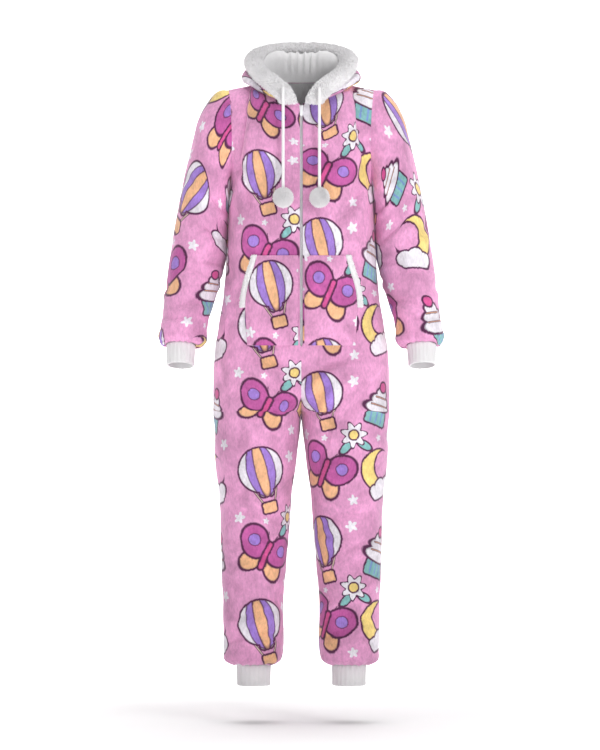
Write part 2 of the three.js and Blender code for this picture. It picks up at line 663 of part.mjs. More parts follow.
const POCKET_STEPS = 8;
function pocketGrid(lift) {
  const grid = [];
  for (let j = 0; j <= POCKET_STEPS; j += 1) {
    const z = POCKET.topZ + ((POCKET.bottomZ - POCKET.topZ) * j) / POCKET_STEPS;
    const row = [];
    for (let i = 0; i <= 6; i += 1) {
      const x = POCKET.innerX + ((pocketEdge(z) - POCKET.innerX) * i) / 6;
      const bulge = POCKET_BULGE * Math.sin((Math.PI * i) / 6) * Math.sin((Math.PI * j) / POCKET_STEPS);
      row.push(overFront(x, z, lift + Math.max(0, bulge)));
    }
    grid.push(row);
  }
  return grid;
}
addBothSides('pocket', pocketGrid(ON_PANEL + FLEECE), pocketGrid(ON_PANEL), false, PINK, 0.9);

function bindingGrid(lift) {
  const grid = [];
  for (let j = 0; j <= 6; j += 1) {
    const z = POCKET.topZ + ((POCKET.cornerZ - POCKET.topZ) * j) / 6;
    const edge = pocketEdge(z) + SEAM + 0.2;
    grid.push([0, 0.5, 1].map((s) => overFront(edge + BINDING.width * s, z, lift)));
  }
  return grid;
}
addBothSides(
  'pocket_binding', bindingGrid(ON_PANEL + BINDING.thick), bindingGrid(ON_PANEL), false, WHITE, 0.8,
);

// ---------------------------------------------------------------- zip
// Its tape lies behind the front edges and its teeth fill the gap between them.
function zipRings(flip) {
  const rings = [];
  const { tapeHalf, tapeThick, teethHalf, teethRise } = ZIP;
  const tapeDepth = FLEECE + 1.7;
  const section = [
    [SEAM / 2, tapeDepth - teethRise],
    [teethHalf, tapeDepth - teethRise],
    [teethHalf, tapeDepth],
    [tapeHalf, tapeDepth],
    [tapeHalf, tapeDepth + tapeThick],
    [SEAM / 2, tapeDepth + tapeThick],
  ];
  frontGrid.forEach((row, j) => {
    if (j === 0 || row[0][2] < ZIP.bottomZ - 2) {
      return;
    }
    const normal = frontNormals[j][0];
    const ring = section.map(([x, depth]) => {
      const side = clamp((x - row[0][0]) / (row[1][0] - row[0][0]));
      const p = mix(row[0], row[1], side);
      return [x, p[1] - normal[1] * depth, p[2] - normal[2] * depth];
    });
    rings.push(flip ? ring.map(mirrored) : ring);
  });
  return rings;
}
piece('zip_tape_left', loftGeometry(zipRings(false)), SILVER, 0.5, 0.3);
piece('zip_tape_right', loftGeometry(zipRings(true)), SILVER, 0.5, 0.3);

// Slider at the top of the closed zip, with a bridge that the pull tab hangs from.
function boxAt(width, depth, height, x, y, z) {
  const box = new THREE.BoxGeometry(width, depth, height);
  box.translate(x, y, z);
  box.deleteAttribute('normal');
  box.deleteAttribute('uv');
  return mergeVertices(box);
}
const sliderZ = SLIDER.topZ - SLIDER.length / 2;
const sliderY = overFront(4, sliderZ - SLIDER.length / 2, 0)[1] - SLIDER.thick / 2 - SEAM;
const sliderShape = new THREE.Shape();
sliderShape.moveTo(-SLIDER.width / 2, SLIDER.length / 2);
sliderShape.lineTo(-SLIDER.width / 3, -SLIDER.length / 2);
sliderShape.lineTo(SLIDER.width / 3, -SLIDER.length / 2);
sliderShape.lineTo(SLIDER.width / 2, SLIDER.length / 2);
sliderShape.closePath();
const slider = new THREE.ExtrudeGeometry(sliderShape, { depth: SLIDER.thick, bevelEnabled: false });
slider.rotateX(Math.PI / 2);
slider.translate(0, sliderY + SLIDER.thick / 2, sliderZ);
piece('zip_slider', slider, SILVER, 0.35, 0.9);

const pinY = sliderY - SLIDER.thick / 2 - SEAM - TAB.thick / 2;
const tabTop = sliderZ + SLIDER.length / 2 - 3;
const pullTab = boxAt(TAB.width, TAB.thick, TAB.length, 0, pinY, tabTop - TAB.length / 2);
piece('zip_pull_tab', pullTab, SILVER, 0.35, 0.9);

// ---------------------------------------------------------------- drawstrings and pompoms
const pompomCentre = (side) => {
  const [, y] = overFront(CORD.x, POMPOM.z, POMPOM.radius + SEAM + 0.2);
  return [side * CORD.x, y, POMPOM.z];
};

// The end of the hood cord hangs from its eyelet in the band, with a pompom on it.
function cordPath(side) {
  const x = side * CORD.x;
  const points = CORD_EXIT.map(({ y, z }) => [x, y, z]);
  const [, lastY, lastZ] = points[points.length - 1];
  const hang = pompomCentre(side);
  const endZ = hang[2] + POMPOM.radius - POMPOM.tuftRise + SEAM;
  for (let k = 1; k <= 5; k += 1) {
    points.push([x, lastY + ((hang[1] - lastY) * k) / 5, lastZ + ((endZ - lastZ) * k) / 5]);
  }
  return new THREE.CatmullRomCurve3(points.map((p) => new THREE.Vector3(...p)));
}

function cordGeometry(side) {
  const section = new THREE.Shape();
  for (let i = 0; i < CORD.sides; i += 1) {
    const angle = (2 * Math.PI * i) / CORD.sides;
    const [a, b] = [(CORD.diameter / 2) * Math.cos(angle), (CORD.diameter / 2) * Math.sin(angle)];
    if (i === 0) {
      section.moveTo(a, b);
    } else {
      section.lineTo(a, b);
    }
  }
  section.closePath();
  const along = { steps: CORD.steps, extrudePath: cordPath(side), bevelEnabled: false };
  return new THREE.ExtrudeGeometry(section, along);
}

// A plush ball whose pile stands in short tufts.
function pompomGeometry(side) {
  let ball = new THREE.IcosahedronGeometry(POMPOM.radius - POMPOM.tuftRise, 3);
  ball.deleteAttribute('normal');
  ball.deleteAttribute('uv');
  ball = mergeVertices(ball, 1e-3);
  const points = ball.getAttribute('position');
  for (let k = 0; k < points.count; k += 1) {
    const p = new THREE.Vector3().fromBufferAttribute(points, k);
    if (k % 3 === 0) {
      p.multiplyScalar(POMPOM.radius / p.length());
    }
    points.setXYZ(k, p.x, p.y, p.z);
  }
  ball.translate(...pompomCentre(side));
  return ball;
}
for (const [name, side] of [['left', 1], ['right', -1]]) {
  piece(`drawstring_${name}`, cordGeometry(side), WHITE, 0.8);
  piece(`pompom_${name}`, pompomGeometry(side), WHITE, 0.95);
}

export default group;
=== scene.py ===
"""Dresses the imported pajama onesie: plush cloth shells, plush trims, zip, cords and pompoms."""

import math
from functools import partial

import bmesh
import bpy
import numpy as np
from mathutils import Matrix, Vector, noise


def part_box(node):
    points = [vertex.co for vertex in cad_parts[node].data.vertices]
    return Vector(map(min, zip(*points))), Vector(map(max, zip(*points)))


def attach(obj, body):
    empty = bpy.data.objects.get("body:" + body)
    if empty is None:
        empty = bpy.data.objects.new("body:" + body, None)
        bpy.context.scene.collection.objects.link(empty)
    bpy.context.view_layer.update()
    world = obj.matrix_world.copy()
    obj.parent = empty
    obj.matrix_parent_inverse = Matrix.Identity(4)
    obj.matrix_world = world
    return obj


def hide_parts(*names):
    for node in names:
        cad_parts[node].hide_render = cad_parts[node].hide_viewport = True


bl_info = {
    "name": "Pajama Onesie",
    "version": (1, 0, 0),
    "blender": (4, 5, 0),
    "location": "3D View > Sidebar > Onesie",
    "description": "Builds a hooded plush onesie over its packed solids",
    "category": "Object",
}

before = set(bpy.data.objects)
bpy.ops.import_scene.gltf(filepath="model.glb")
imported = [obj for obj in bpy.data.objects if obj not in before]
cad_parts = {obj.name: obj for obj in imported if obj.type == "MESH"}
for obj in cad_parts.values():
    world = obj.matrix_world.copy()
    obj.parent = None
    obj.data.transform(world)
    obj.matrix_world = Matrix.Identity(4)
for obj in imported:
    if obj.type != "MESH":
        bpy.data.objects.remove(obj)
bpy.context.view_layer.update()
MM = 0.001

# ---------------------------------------------------------------- sizes shared with the solids
# Millimetres, as in the solids' own source.
FLEECE = 3.0
HOOD_CLOTH = 2.2
LINING = 1.6
LINING_GAP = 1.0
RIB_CLOTH = 2.2
SEAM = 0.3
ON_PANEL = 1.3

ARMPIT_Z = -235
CROTCH_TOP_Z = -560
FORK_Z = -724
LEG_END_Z = -1303
ROUNDNESS = 2.3
NECK_SHARE = 0.75
SHOULDER_TURN = 0.48
SHOULDER_TIP = np.array([166.0, 0, 15])
CENTRE_FRONT = (-22, -86)  # height and depth
CENTRE_BACK = (38, 80)
ARMHOLE_MIDDLE_Z, ARMHOLE_HALF_HEIGHT, ARMHOLE_HALF_DEPTH = -109, 124, 66
ARMHOLE_MIDDLE_X, ARMHOLE_ENDS_X = 158, 166

ZIP_BOTTOM_Z, ZIP_EDGE_X, ZIP_TAPE_HALF = -575, 3.2, 14
ZIP_TAPE_THICK, ZIP_TAPE_DEPTH = 1.2, FLEECE + 1.7
POCKET_TOP_Z, POCKET_BOTTOM_Z, POCKET_CORNER_Z = -369, -573, -486
POCKET_INNER_X, POCKET_TOP_X, POCKET_CORNER_X, POCKET_BOTTOM_X = 7, 100, 126, 122
POCKET_BULGE = 5
BINDING_WIDTH, BINDING_THICK = 12, 4.2
RIB_COUNT, RIB_TONE = 22, 0.92
TUFT_SPIN = 3.14  # most that a tuft turns to either side, radians
TRIM_HALF_WIDTH, TRIM_HALF_THICK = 22, 13
CORD_DIAMETER, CORD_X = 7, 41
POMPOM_RADIUS, POMPOM_Z, POMPOM_TUFT = 22.5, -239, 1.3
SLIDER_WIDTH, SLIDER_LENGTH, SLIDER_THICK, SLIDER_TOP_Z = 9.5, 13, 3, -27
TAB_WIDTH, TAB_THICK = 7, 1.8
HOOD_SIDE_BULGE = 30


def curve_table(*rows):
    """Rows of a table in the order of its first column."""
    return np.array(sorted(rows), float)


# height, half width, depth in front, depth behind
TRUNK = curve_table(
    (-235, 165, 119, 118),
    (-300, 166.5, 121, 113),
    (-370, 170, 121, 108),
    (-440, 175, 123, 112),
    (-510, 185, 126, 124),
    (-570, 195, 127, 133),
    (-620, 199.5, 125, 135),
    (-680, 200.5, 120, 130),
    (-724, 200, 115, 122),
)
# height, inseam, outseam, depth in front, depth behind
LEG = curve_table(
    (-724, 0.4, 200, 115, 122),
    (-762, 4, 198, 110, 114),
    (-830, 12, 197, 104, 107),
    (-910, 23, 187, 94, 98),
    (-1000, 29, 184, 87, 91),
    (-1090, 37, 181, 80, 90),
    (-1170, 43, 178.5, 76, 87),
    (-1230, 42, 177, 73, 82),
    (-1268, 42.5, 177, 71, 79),
    (-1290, 49, 173, 64, 73),
    (-1299, 58, 162, 54, 64),
    (-1303, 69.5, 149.5, 42, 50),
)
# turn from centre back to centre front, x, y, z
NECKLINE = curve_table(
    (0, 0, 80, 38),
    (0.14, 43, 75, 38),
    (0.28, 82, 55, 37),
    (0.42, 108, 20, 31),
    (0.56, 109, -22, 19),
    (0.7, 91, -55, 5),
    (0.85, 52, -77, -12),
    (1, 0, -86, -22),
)
# ring, outer x, outer z, inner x, inner z, half depth, y, degrees tipped forward
SLEEVE = curve_table(
    (0, 193, 9, 168.3, -246, 71, 0, 0),
    (1, 217, -18, 169.5, -258, 74, 0, 0),
    (2, 235, -53, 170, -272, 75, 1, 0),
    (3, 248, -102, 170.8, -290, 75, 3, 0),
    (4, 263, -165, 172, -312, 74, 5, 0),
    (5, 278, -237, 173.5, -340, 72, 6, 2),
    (6, 292, -315, 177, -378, 69, 4, 5),
    (7, 301, -378, 184, -415, 66, -3, 9),
    (8, 309, -436, 195, -453, 62, -13, 11),
    (9, 314, -486, 208, -494, 58, -24, 13),
    (10, 319, -527, 217, -531, 56, -34, 13),
    (11, 322, -552, 220, -556, 54, -40, 13),
    (12, 317, -566, 228, -569, 48, -43, 13),
    (13, 309, -570, 241, -572, 38, -44, 13),
)
# turn, x, y, z and the way that the band's face looks in y and z
BAND = curve_table(
    (0, 0, 159, 126, -0.35, 0.94),
    (0.14, 50, 150, 124, -0.38, 0.92),
    (0.28, 91, 115, 112, -0.42, 0.9),
    (0.42, 109, 62, 93, -0.5, 0.86),
    (0.56, 107, 8, 70, -0.6, 0.8),
    (0.7, 89, -42, 44, -0.76, 0.65),
    (0.82, 68, -74, 26, -0.86, 0.5),
    (0.91, 47, -92, 7, -0.93, 0.36),
    (0.96, 36, -99, -7, -0.97, 0.25),
    (1, 29.5, -102, -21, -0.98, 0.2),
)
# step from the neck seam to the band, outward, up
HOOD_FOLD = curve_table(
    (0, 0, 0),
    (1, 2, 30),
    (2, 6, 54),
    (3, 15, 66),
    (4, 26, 58),
    (5, 32, 28),
    (6, 37, -24),
    (7, 44, -78),
    (8, 60, -118),
    (9, 82, -130),
    (10, 102, -112),
    (11, 114, -68),
    (12, 114, -14),
    (13, 98, 37),
    (14, 83, 73),
)
HOOD_MESH = (84, 60)  # rows and columns
HOOD_TURNS = (0, 0.08, 0.16, 0.24, 0.32, 0.4, 0.48, 0.5667, 0.6533, 0.74, 0.8267, 0.9133)
# y and z of the first points of a drawstring
CORD_EXIT = ((-107.4, 10.4), (-112, 9), (-116, 4.5), (-118.6, -4), (-119.6, -14))
# share round the half section, height, width, tallness, rise, lean
BROAD_FOLDS = (
    (0.26, -330, 0.05, 120, 6, 0.0006),
    (0.14, -655, 0.08, 45, 7, 0.0022),
    (0.3, -1010, 0.12, 32, 6, 0),
    (0.22, -1200, 0.14, 28, 5, 0),
    (0.74, -330, 0.05, 120, 6, -0.0006),
    (0.84, -690, 0.08, 40, 7, -0.002),
    (0.72, -1030, 0.12, 32, 6, 0),
    (0.78, -1190, 0.14, 28, 5, 0),
)

# ---------------------------------------------------------------- creases
# Soft troughs of the cloth, each with a low ridge beside it. Across and along are where its
# middle is, in millimetres of cloth from the middle of the body and in height; lean is in
# degrees from upright, bow is how far its middle is pushed aside.
# across, height, half length, half width, depth, lean, bow
FRONT_CREASES = (
    (132, -205, 52, 11, 3.4, 24, 8),
    (112, -262, 60, 10, 2.6, 38, -9),
    (146, -300, 44, 9, 2.2, 12, 5),
    (88, -330, 38, 8, 1.5, 52, 6),
    (52, -180, 70, 14, 1.7, 8, -8),
    (62, -95, 44, 12, 1.6, -36, 7),
    (104, -120, 40, 10, 1.8, -20, 6),
    (164, -470, 46, 10, 2.3, 20, 6),
    (176, -540, 40, 9, 2.0, -16, -5),
    (48, -622, 62, 10, 3.4, 62, 12),
    (66, -655, 74, 11, 3.8, 54, 14),
    (46, -690, 50, 9, 3.2, 40, 8),
    (92, -612, 48, 11, 2.0, 72, -8),
    (110, -722, 66, 12, 2.8, 34, 10),
    (60, -770, 60, 9, 2.6, 14, -6),
    (132, -800, 58, 12, 2.0, -12, 8),
    (76, -870, 50, 10, 1.7, 48, 7),
    (148, -905, 44, 10, 2.0, 66, -7),
    (96, -958, 62, 11, 2.9, 78, 9),
    (70, -1010, 44, 9, 2.5, 97, -8),
    (138, -1022, 50, 10, 2.8, 74, 9),
    (104, -1060, 58, 12, 2.2, 104, 7),
    (150, -1120, 42, 9, 1.9, 60, -6),
    (78, -1150, 56, 11, 2.6, 82, 8),
    (122, -1192, 54, 9, 3.2, 99, -8),
    (88, -1226, 46, 8, 3.4, 76, 7),
    (140, -1240, 40, 8, 3.2, 108, 6),
)
BACK_CREASES = (
    (126, -212, 56, 11, 3.2, 20, 9),
    (104, -276, 62, 11, 2.4, 34, -8),
    (150, -322, 46, 9, 2.2, 10, 5),
    (58, -150, 74, 14, 1.8, 5, 8),
    (78, -84, 40, 12, 1.5, -30, -6),
    (44, -420, 60, 12, 2.6, 70, 10),
    (96, -452, 66, 11, 3.0, 82, -9),
    (140, -486, 44, 10, 2.4, 98, 7),
    (64, -512, 52, 10, 2.2, 76, 8),
    (176, -560, 40, 10, 2.0, 18, -5),
    (40, -668, 50, 10, 3.0, 66, 9),
    (70, -712, 70, 11, 3.6, 58, 12),
    (104, -752, 60, 12, 3.0, 46, 9),
    (52, -800, 54, 10, 2.4, 20, -6),
    (136, -850, 58, 12, 2.0, -10, 7),
    (84, -930, 52, 11, 2.4, 70, -7),
    (118, -984, 60, 11, 3.0, 84, 8),
    (76, -1034, 46, 9, 2.8, 101, -8),
    (134, -1074, 50, 10, 2.4, 72, 8),
    (98, -1140, 58, 12, 2.3, 92, 7),
    (146, -1182, 42, 9, 2.6, 70, -6),
    (86, -1216, 50, 9, 3.2, 84, 7),
    (126, -1244, 44, 8, 3.2, 102, -6),
)
# Round the sleeve the first column is the share of its ring from the outer line, going over
# the front; the second is the distance down from the armhole.
SLEEVE_CREASES = (
    (0.20, 70, 46, 10, 2.2, 58, 8),
    (0.34, 118, 50, 10, 2.8, 66, -9),
    (0.10, 165, 40, 9, 1.7, 74, 7),
    (0.28, 214, 54, 10, 3.0, 82, 9),
    (0.14, 262, 42, 9, 2.5, 98, -8),
    (0.36, 292, 46, 9, 3.0, 70, 8),
    (0.22, 330, 50, 10, 3.0, 88, -8),
    (0.08, 372, 40, 9, 2.4, 106, 7),
    (0.31, 404, 44, 9, 3.2, 76, 8),
    (0.17, 446, 46, 8, 3.4, 94, -7),
    (0.36, 474, 40, 8, 3.0, 84, 6),
    (0.62, 96, 48, 10, 2.4, 62, 8),
    (0.80, 150, 44, 10, 2.2, 78, -8),
    (0.68, 226, 52, 10, 3.0, 86, 9),
    (0.86, 276, 42, 9, 2.4, 98, 7),
    (0.60, 318, 48, 10, 3.0, 74, -8),
    (0.76, 362, 50, 9, 2.8, 92, 8),
    (0.66, 430, 46, 9, 3.4, 82, -7),
    (0.88, 468, 40, 8, 3.0, 100, 6),
)
# share round the leg or sleeve, half width, height of the gathers above a cuff
GATHERS = (
    (0.02, 0.016, 3.2),
    (0.07, 0.013, 2.2),
    (0.115, 0.017, 3.6),
    (0.17, 0.012, 2.4),
    (0.215, 0.018, 3.4),
    (0.27, 0.014, 2.8),
    (0.325, 0.016, 3.8),
    (0.38, 0.012, 2.0),
    (0.42, 0.015, 3.2),
    (0.475, 0.017, 3.0),
    (0.53, 0.013, 2.4),
    (0.575, 0.017, 3.7),
    (0.63, 0.014, 2.7),
    (0.68, 0.016, 3.3),
    (0.735, 0.012, 2.2),
    (0.78, 0.017, 3.6),
    (0.83, 0.014, 2.6),
    (0.885, 0.016, 3.4),
    (0.94, 0.013, 2.5),
    (0.98, 0.012, 2.0),
)


# ---------------------------------------------------------------- curves and grids
def round_angles(count):
    return np.linspace(0, 2 * math.pi, count, endpoint=False)


def clamp(value, low=0.0, high=1.0):
    return np.clip(value, low, high)


def smooth(low, high, value):
    t = clamp((value - low) / (high - low))
    return t * t * (3 - 2 * t)


def unit(vectors):
    vectors = np.asarray(vectors, float)
    length = np.linalg.norm(vectors, axis=-1, keepdims=True)
    return vectors / np.where(length > 1e-9, length, 1)


def mix(a, b, t):
    return a + (b - a) * t


def curve_between(t, start, end, slope_start, slope_end):
    """A smooth curve between two points, t running from 0 to 1."""
    t2, t3 = t * t, t * t * t
    leaving = (2 * t3 - 3 * t2 + 1) * start + (t3 - 2 * t2 + t) * slope_start
    return leaving + (3 * t2 - 2 * t3) * end + (t3 - t2) * slope_end


def table_at(table, at):
    """A smooth curve through a table's rows, read at one value of the first column."""
    keys, cells = table[:, 0], table[:, 1:]
    at = min(max(at, keys[0]), keys[-1])
    i = min(max(int(np.searchsorted(keys, at)) - 1, 0), len(keys) - 2)
    before, after = max(0, i - 1), min(len(keys) - 1, i + 2)
    span = keys[i + 1] - keys[i]
    t = (at - keys[i]) / span
    slope_a = (cells[i + 1] - cells[before]) / (keys[i + 1] - keys[before]) * span
    slope_b = (cells[after] - cells[i]) / (keys[after] - keys[i]) * span
    return curve_between(t, cells[i], cells[i + 1], slope_a, slope_b)


def grid_normals(grid, closed=False, sign=1):
    """Unit normals of a grid of points."""
    if closed:
        left, right = np.roll(grid, 1, axis=1), np.roll(grid, -1, axis=1)
    else:
        left = np.concatenate([grid[:, :1], grid[:, :-1]], axis=1)
        right = np.concatenate([grid[:, 1:], grid[:, -1:]], axis=1)
    up = np.concatenate([grid[:1], grid[:-1]])
    down = np.concatenate([grid[1:], grid[-1:]])
    return unit(np.cross(right - left, down - up)) * sign


def closed_up(grid):
    """The grid with its first column again at its end."""
    return np.concatenate([grid, grid[:, :1]], axis=1)


def arc_lengths(grid, axis):
    """Length along a grid's rows (axis 1) or columns (axis 0), from its first point."""
    steps = np.linalg.norm(np.diff(grid, axis=axis), axis=2)
    start = np.zeros_like(steps[:, :1] if axis else steps[:1])
    return np.concatenate([start, np.cumsum(steps, axis=axis)], axis=axis)


def refined(grid, count, axis):
    """The grid with count points along an axis, on a smooth curve through its own."""
    grid = np.moveaxis(grid, axis, 0)
    places = np.linspace(0, len(grid) - 1, count)
    i = np.minimum(places.astype(int), len(grid) - 2)
    t = (places - i).reshape(-1, *([1] * (grid.ndim - 1)))
    at = [grid[np.clip(i + k, 0, len(grid) - 1)] for k in (-1, 0, 1, 2)]
    curve = curve_between(t, at[1], at[2], (at[2] - at[0]) / 2, (at[3] - at[1]) / 2)
    return np.moveaxis(curve, 0, axis)


def crease_rise(across, along, creases):
    """How far each point of the cloth stands out, from troughs with a ridge beside them."""
    rise = np.zeros_like(across)
    for across_at, along_at, length, width, depth, lean, bow in creases:
        turn = math.radians(lean)
        right, up = across - across_at, along - along_at
        run = right * math.sin(turn) + up * math.cos(turn)
        aside = right * math.cos(turn) - up * math.sin(turn) - bow * (run / length) ** 2
        trough = bell(aside, 0, width)
        ridge = 0.6 * bell(aside, 1.7 * width, 1.2 * width)
        rise += depth * (ridge - trough) * np.exp(-((run / length) ** 4))
    return rise


def gather_rise(share):
    """Uneven gathers round a tube, share running once round it."""
    rise = np.zeros_like(share)
    for at, width, height in GATHERS:
        away = np.abs((share - at + 0.5) % 1 - 0.5)
        rise += height * bell(away, 0, width)
    return rise


def loft_noise(grid, size, height):
    """Soft unevenness of plush cloth, the same on each run."""
    flat = [height * noise.noise(Vector(p) / size) for p in grid.reshape(-1, 3)]
    return np.array(flat).reshape(grid.shape[:-1])


def bell(value, middle, width):
    """1 in the middle, falling away on both sides."""
    return np.exp(-(((value - middle) / width) ** 2))


def held(distance, width=7.0):
    """How far cloth swells, from nothing at a seam to all of it a little way off."""
    return 1 - bell(distance, 0, width)


# ---------------------------------------------------------------- body surface
def neck_point(turn):
    return table_at(NECKLINE, turn)


def armhole_point(angle, side):
    rise = math.cos(angle)
    bow = math.sin(angle) if rise > 0 else math.sin(angle) ** 2
    return np.array(
        [
            ARMHOLE_MIDDLE_X + (ARMHOLE_ENDS_X - ARMHOLE_MIDDLE_X) * rise * rise,
            side * ARMHOLE_HALF_DEPTH * bow,
            ARMHOLE_MIDDLE_Z + ARMHOLE_HALF_HEIGHT * rise,
        ]
    )


def fold_rise(u, z):
    rise = 0.0
    for at, height, wide, tall, size, lean in BROAD_FOLDS:
        along = (z - height) / tall
        across = (u - at - lean * (z - height)) / wide
        rise += size * math.exp(-along * along - across * across)
    ends = smooth(0, 0.05, u) * smooth(0, 0.05, 1 - u) * smooth(-1290, -1230, z)
    return rise * ends * smooth(0, 0.04, abs(u - 0.5))


def section_point(u, z):
    """One point of a horizontal section of a half of the body, u from its front seam (0) by
    the side seam (0.5) to its back seam (1)."""
    inner = 0.0
    if z > FORK_Z:
        outer, front, back = table_at(TRUNK, z)
        share = float(clamp((CROTCH_TOP_Z - z) / (CROTCH_TOP_Z - FORK_Z))) ** 1.6
        half = outer / (1 + share)
        centre = half * share
    else:
        inner, outer, front, back = table_at(LEG, z)
        share = 1.0
        half = centre = (outer - inner) / 2
    edge = math.atan2((1 - min(1, share**ROUNDNESS)) ** (1 / ROUNDNESS), -share)
    angle = edge * abs(2 * u - 1)
    cosine, sine = math.cos(angle), math.sin(angle)
    reach = (abs(cosine) ** ROUNDNESS + abs(sine) ** ROUNDNESS) ** (-1 / ROUNDNESS)
    rise = fold_rise(u, z)
    depth = -(front + rise) if u < 0.5 else back + rise
    return np.array([inner + centre + (half + rise) * reach * cosine, depth * reach * sine, z])


def share_round(share, side):
    """Share round the half of the body, from a share across its front or its back."""
    return share / 2 if side < 0 else 1 - share / 2


def yoke_point(share, v, side):
    """Above the armpit a panel fills the space between its four edges."""

    def bottom(s):
        return section_point(share_round(s, side), ARMPIT_Z)

    def top(s):
        start = 1 if side < 0 else 0
        if s <= NECK_SHARE:
            return neck_point(start + (SHOULDER_TURN - start) * (s / NECK_SHARE))
        return mix(neck_point(SHOULDER_TURN), SHOULDER_TIP, (s - NECK_SHARE) / (1 - NECK_SHARE))

    end_z, end_y = CENTRE_FRONT if side < 0 else CENTRE_BACK
    start = bottom(0)
    centre = np.array([0, mix(start[1], end_y, v**1.9), mix(start[2], end_z, v)])
    corners = mix(mix(bottom(0), bottom(1), share), mix(top(0), top(1), share), v)
    across = mix(centre, armhole_point(math.pi * (1 - v), side), share)
    return across + mix(bottom(share), top(share), v) - corners


PANEL_SHARES = np.linspace(0, 1, 49)
YOKE_ROWS = 46
# first height, last height and step of the rows below the armpit
PANEL_ROWS = ((ARMPIT_Z, FORK_Z, -6.0), (FORK_Z, -1250, -6.0), (-1250, -1300, -3.0))
PANEL_HEIGHTS = np.concatenate([np.arange(*rows) for rows in PANEL_ROWS] + [[-1301, LEG_END_Z]])


def panel_grid(side):
    """The outer face of a left body panel; side is -1 in front and 1 behind."""
    yoke = [
        [yoke_point(s, 1 - j / YOKE_ROWS, side) for s in PANEL_SHARES] for j in range(YOKE_ROWS)
    ]
    below = [[section_point(share_round(s, side), z) for s in PANEL_SHARES] for z in PANEL_HEIGHTS]
    grid = np.array(yoke + below)
    grid[..., 0] += SEAM / 2
    grid[..., 1] += side * SEAM / 2
    if side < 0:
        grid[:, 0, 0] += ZIP_EDGE_X * smooth(ZIP_BOTTOM_Z - 25, ZIP_BOTTOM_Z, grid[:, 0, 2])
    return grid


def seam_normals(grid, sign):
    """Normals whose edges stay in the plane of their seam, so that two rims match."""
    normals = grid_normals(grid, sign=sign)
    neck_columns = int(round(NECK_SHARE * (len(PANEL_SHARES) - 1)))
    normals[YOKE_ROWS:, -1, 1] = 0
    z = grid[:, 0, 2]
    normals[z > CROTCH_TOP_Z, 0, 0] = 0
    normals[z < FORK_Z + 1, 0, 1] = 0
    normals[0, neck_columns:, 1] = 0
    return unit(normals)


FRONT_GRID = panel_grid(-1)
FRONT_NORMALS = seam_normals(FRONT_GRID, -1)
BACK_GRID = panel_grid(1)
BACK_NORMALS = seam_normals(BACK_GRID, 1)
ZIP_ROWS = FRONT_GRID[:, 0, 2]


def cloth_lines(grid):
    """Each point's place on the flat cloth: across and down, in millimetres."""
    middle = grid.shape[1] // 2
    across = arc_lengths(grid, 1)
    across = across - across[:, middle : middle + 1] + grid[:, middle : middle + 1, 0]
    down = arc_lengths(grid, 0)[:, middle : middle + 1] + 0 * across
    return np.stack([across, down], axis=-1)


SEAM_CLOSED = 0.02  # half the gap left where two pieces are sewn together in the middle
SWELL = 1.8  # how far cloth stands out between its seams
# how much deeper creases are than their tables say
PANEL_CREASING, SLEEVE_CREASING = 1.9, 1.8
GATHER_MEAN = 1.2  # taken off the gathers, so that they sink in as well as stand out


def dressed_panel(side, creases):
    """A body panel with its creases, gathers and sunk seams, and its flat lines."""
    grid, normals = (FRONT_GRID, FRONT_NORMALS) if side < 0 else (BACK_GRID, BACK_NORMALS)
    lines = cloth_lines(grid)
    share = PANEL_SHARES[None, :] + 0 * lines[..., 0]
    z = grid[..., 2]
    from_start = arc_lengths(grid, 1)
    from_end = from_start[:, -1:] - from_start
    from_top = arc_lengths(grid, 0)
    from_bottom = from_top[-1:] - from_top
    rise = PANEL_CREASING * crease_rise(lines[..., 0], z, creases)
    rise = rise + loft_noise(grid, 38.0, 1.6) + SWELL
    if side < 0:
        # flat under the pocket, then under the pompom, and beside the zip
        x = lines[..., 0]
        pocket = smooth(-585, -572, z) * smooth(-362, -374, z) * smooth(146, 132, x)
        rise = rise * (1 - pocket) - 0.4 * pocket
        rise = rise * (1 - smooth(-215, -235, z) * smooth(-262, -245, z) * smooth(70, 60, x))
        rise = rise * smooth(4, 16, from_start) ** 0.5
    # gathered above the cuff, with a soft overhang
    gather = gather_rise(share_round(share, side)) - GATHER_MEAN
    rise += gather * smooth(46, 20, from_bottom) * smooth(0, 6, from_bottom)
    rise += 2.6 * bell(from_bottom, 27, 13)
    rise = rise * smooth(0, 12, np.minimum(from_end, from_bottom + 6))
    below_zip = smooth(ZIP_BOTTOM_Z + 4, ZIP_BOTTOM_Z - 8, z) if side < 0 else 1.0
    rise *= held(from_end) * held(from_top, 6) * held(from_bottom, 3)
    rise *= 1 - below_zip * (1 - held(from_start))
    rise -= 1.1 * (1 - below_zip) * bell(from_start, 0, 2.6)
    moved = normals * rise[..., None]
    in_middle = grid[:, 0, 2] > FORK_Z
    moved[in_middle, 0, 0] = 0
    outer = grid + moved
    inner = outer - normals * FLEECE
    joined_up = in_middle & (grid[:, 0, 2] < ZIP_BOTTOM_Z) if side < 0 else in_middle
    outer[joined_up, 0, 0] = inner[joined_up, 0, 0] = SEAM_CLOSED
    return outer, inner, lines


def over_front(x, z, lift):
    """A point over the left front panel, from its distance from the middle and its height."""
    j = int(clamp(np.argmax(ZIP_ROWS <= z) - 1, 0, len(ZIP_ROWS) - 2))
    t = (z - ZIP_ROWS[j]) / (ZIP_ROWS[j + 1] - ZIP_ROWS[j])
    row = mix(FRONT_GRID[j], FRONT_GRID[j + 1], t)
    normals = mix(FRONT_NORMALS[j], FRONT_NORMALS[j + 1], t)
    i = int(clamp(np.argmax(row[:, 0] >= x) - 1, 0, len(row) - 2))
    s = (x - row[i, 0]) / (row[i + 1, 0] - row[i, 0])
    return mix(row[i], row[i + 1], s) + unit(mix(normals[i], normals[i + 1], s)) * lift


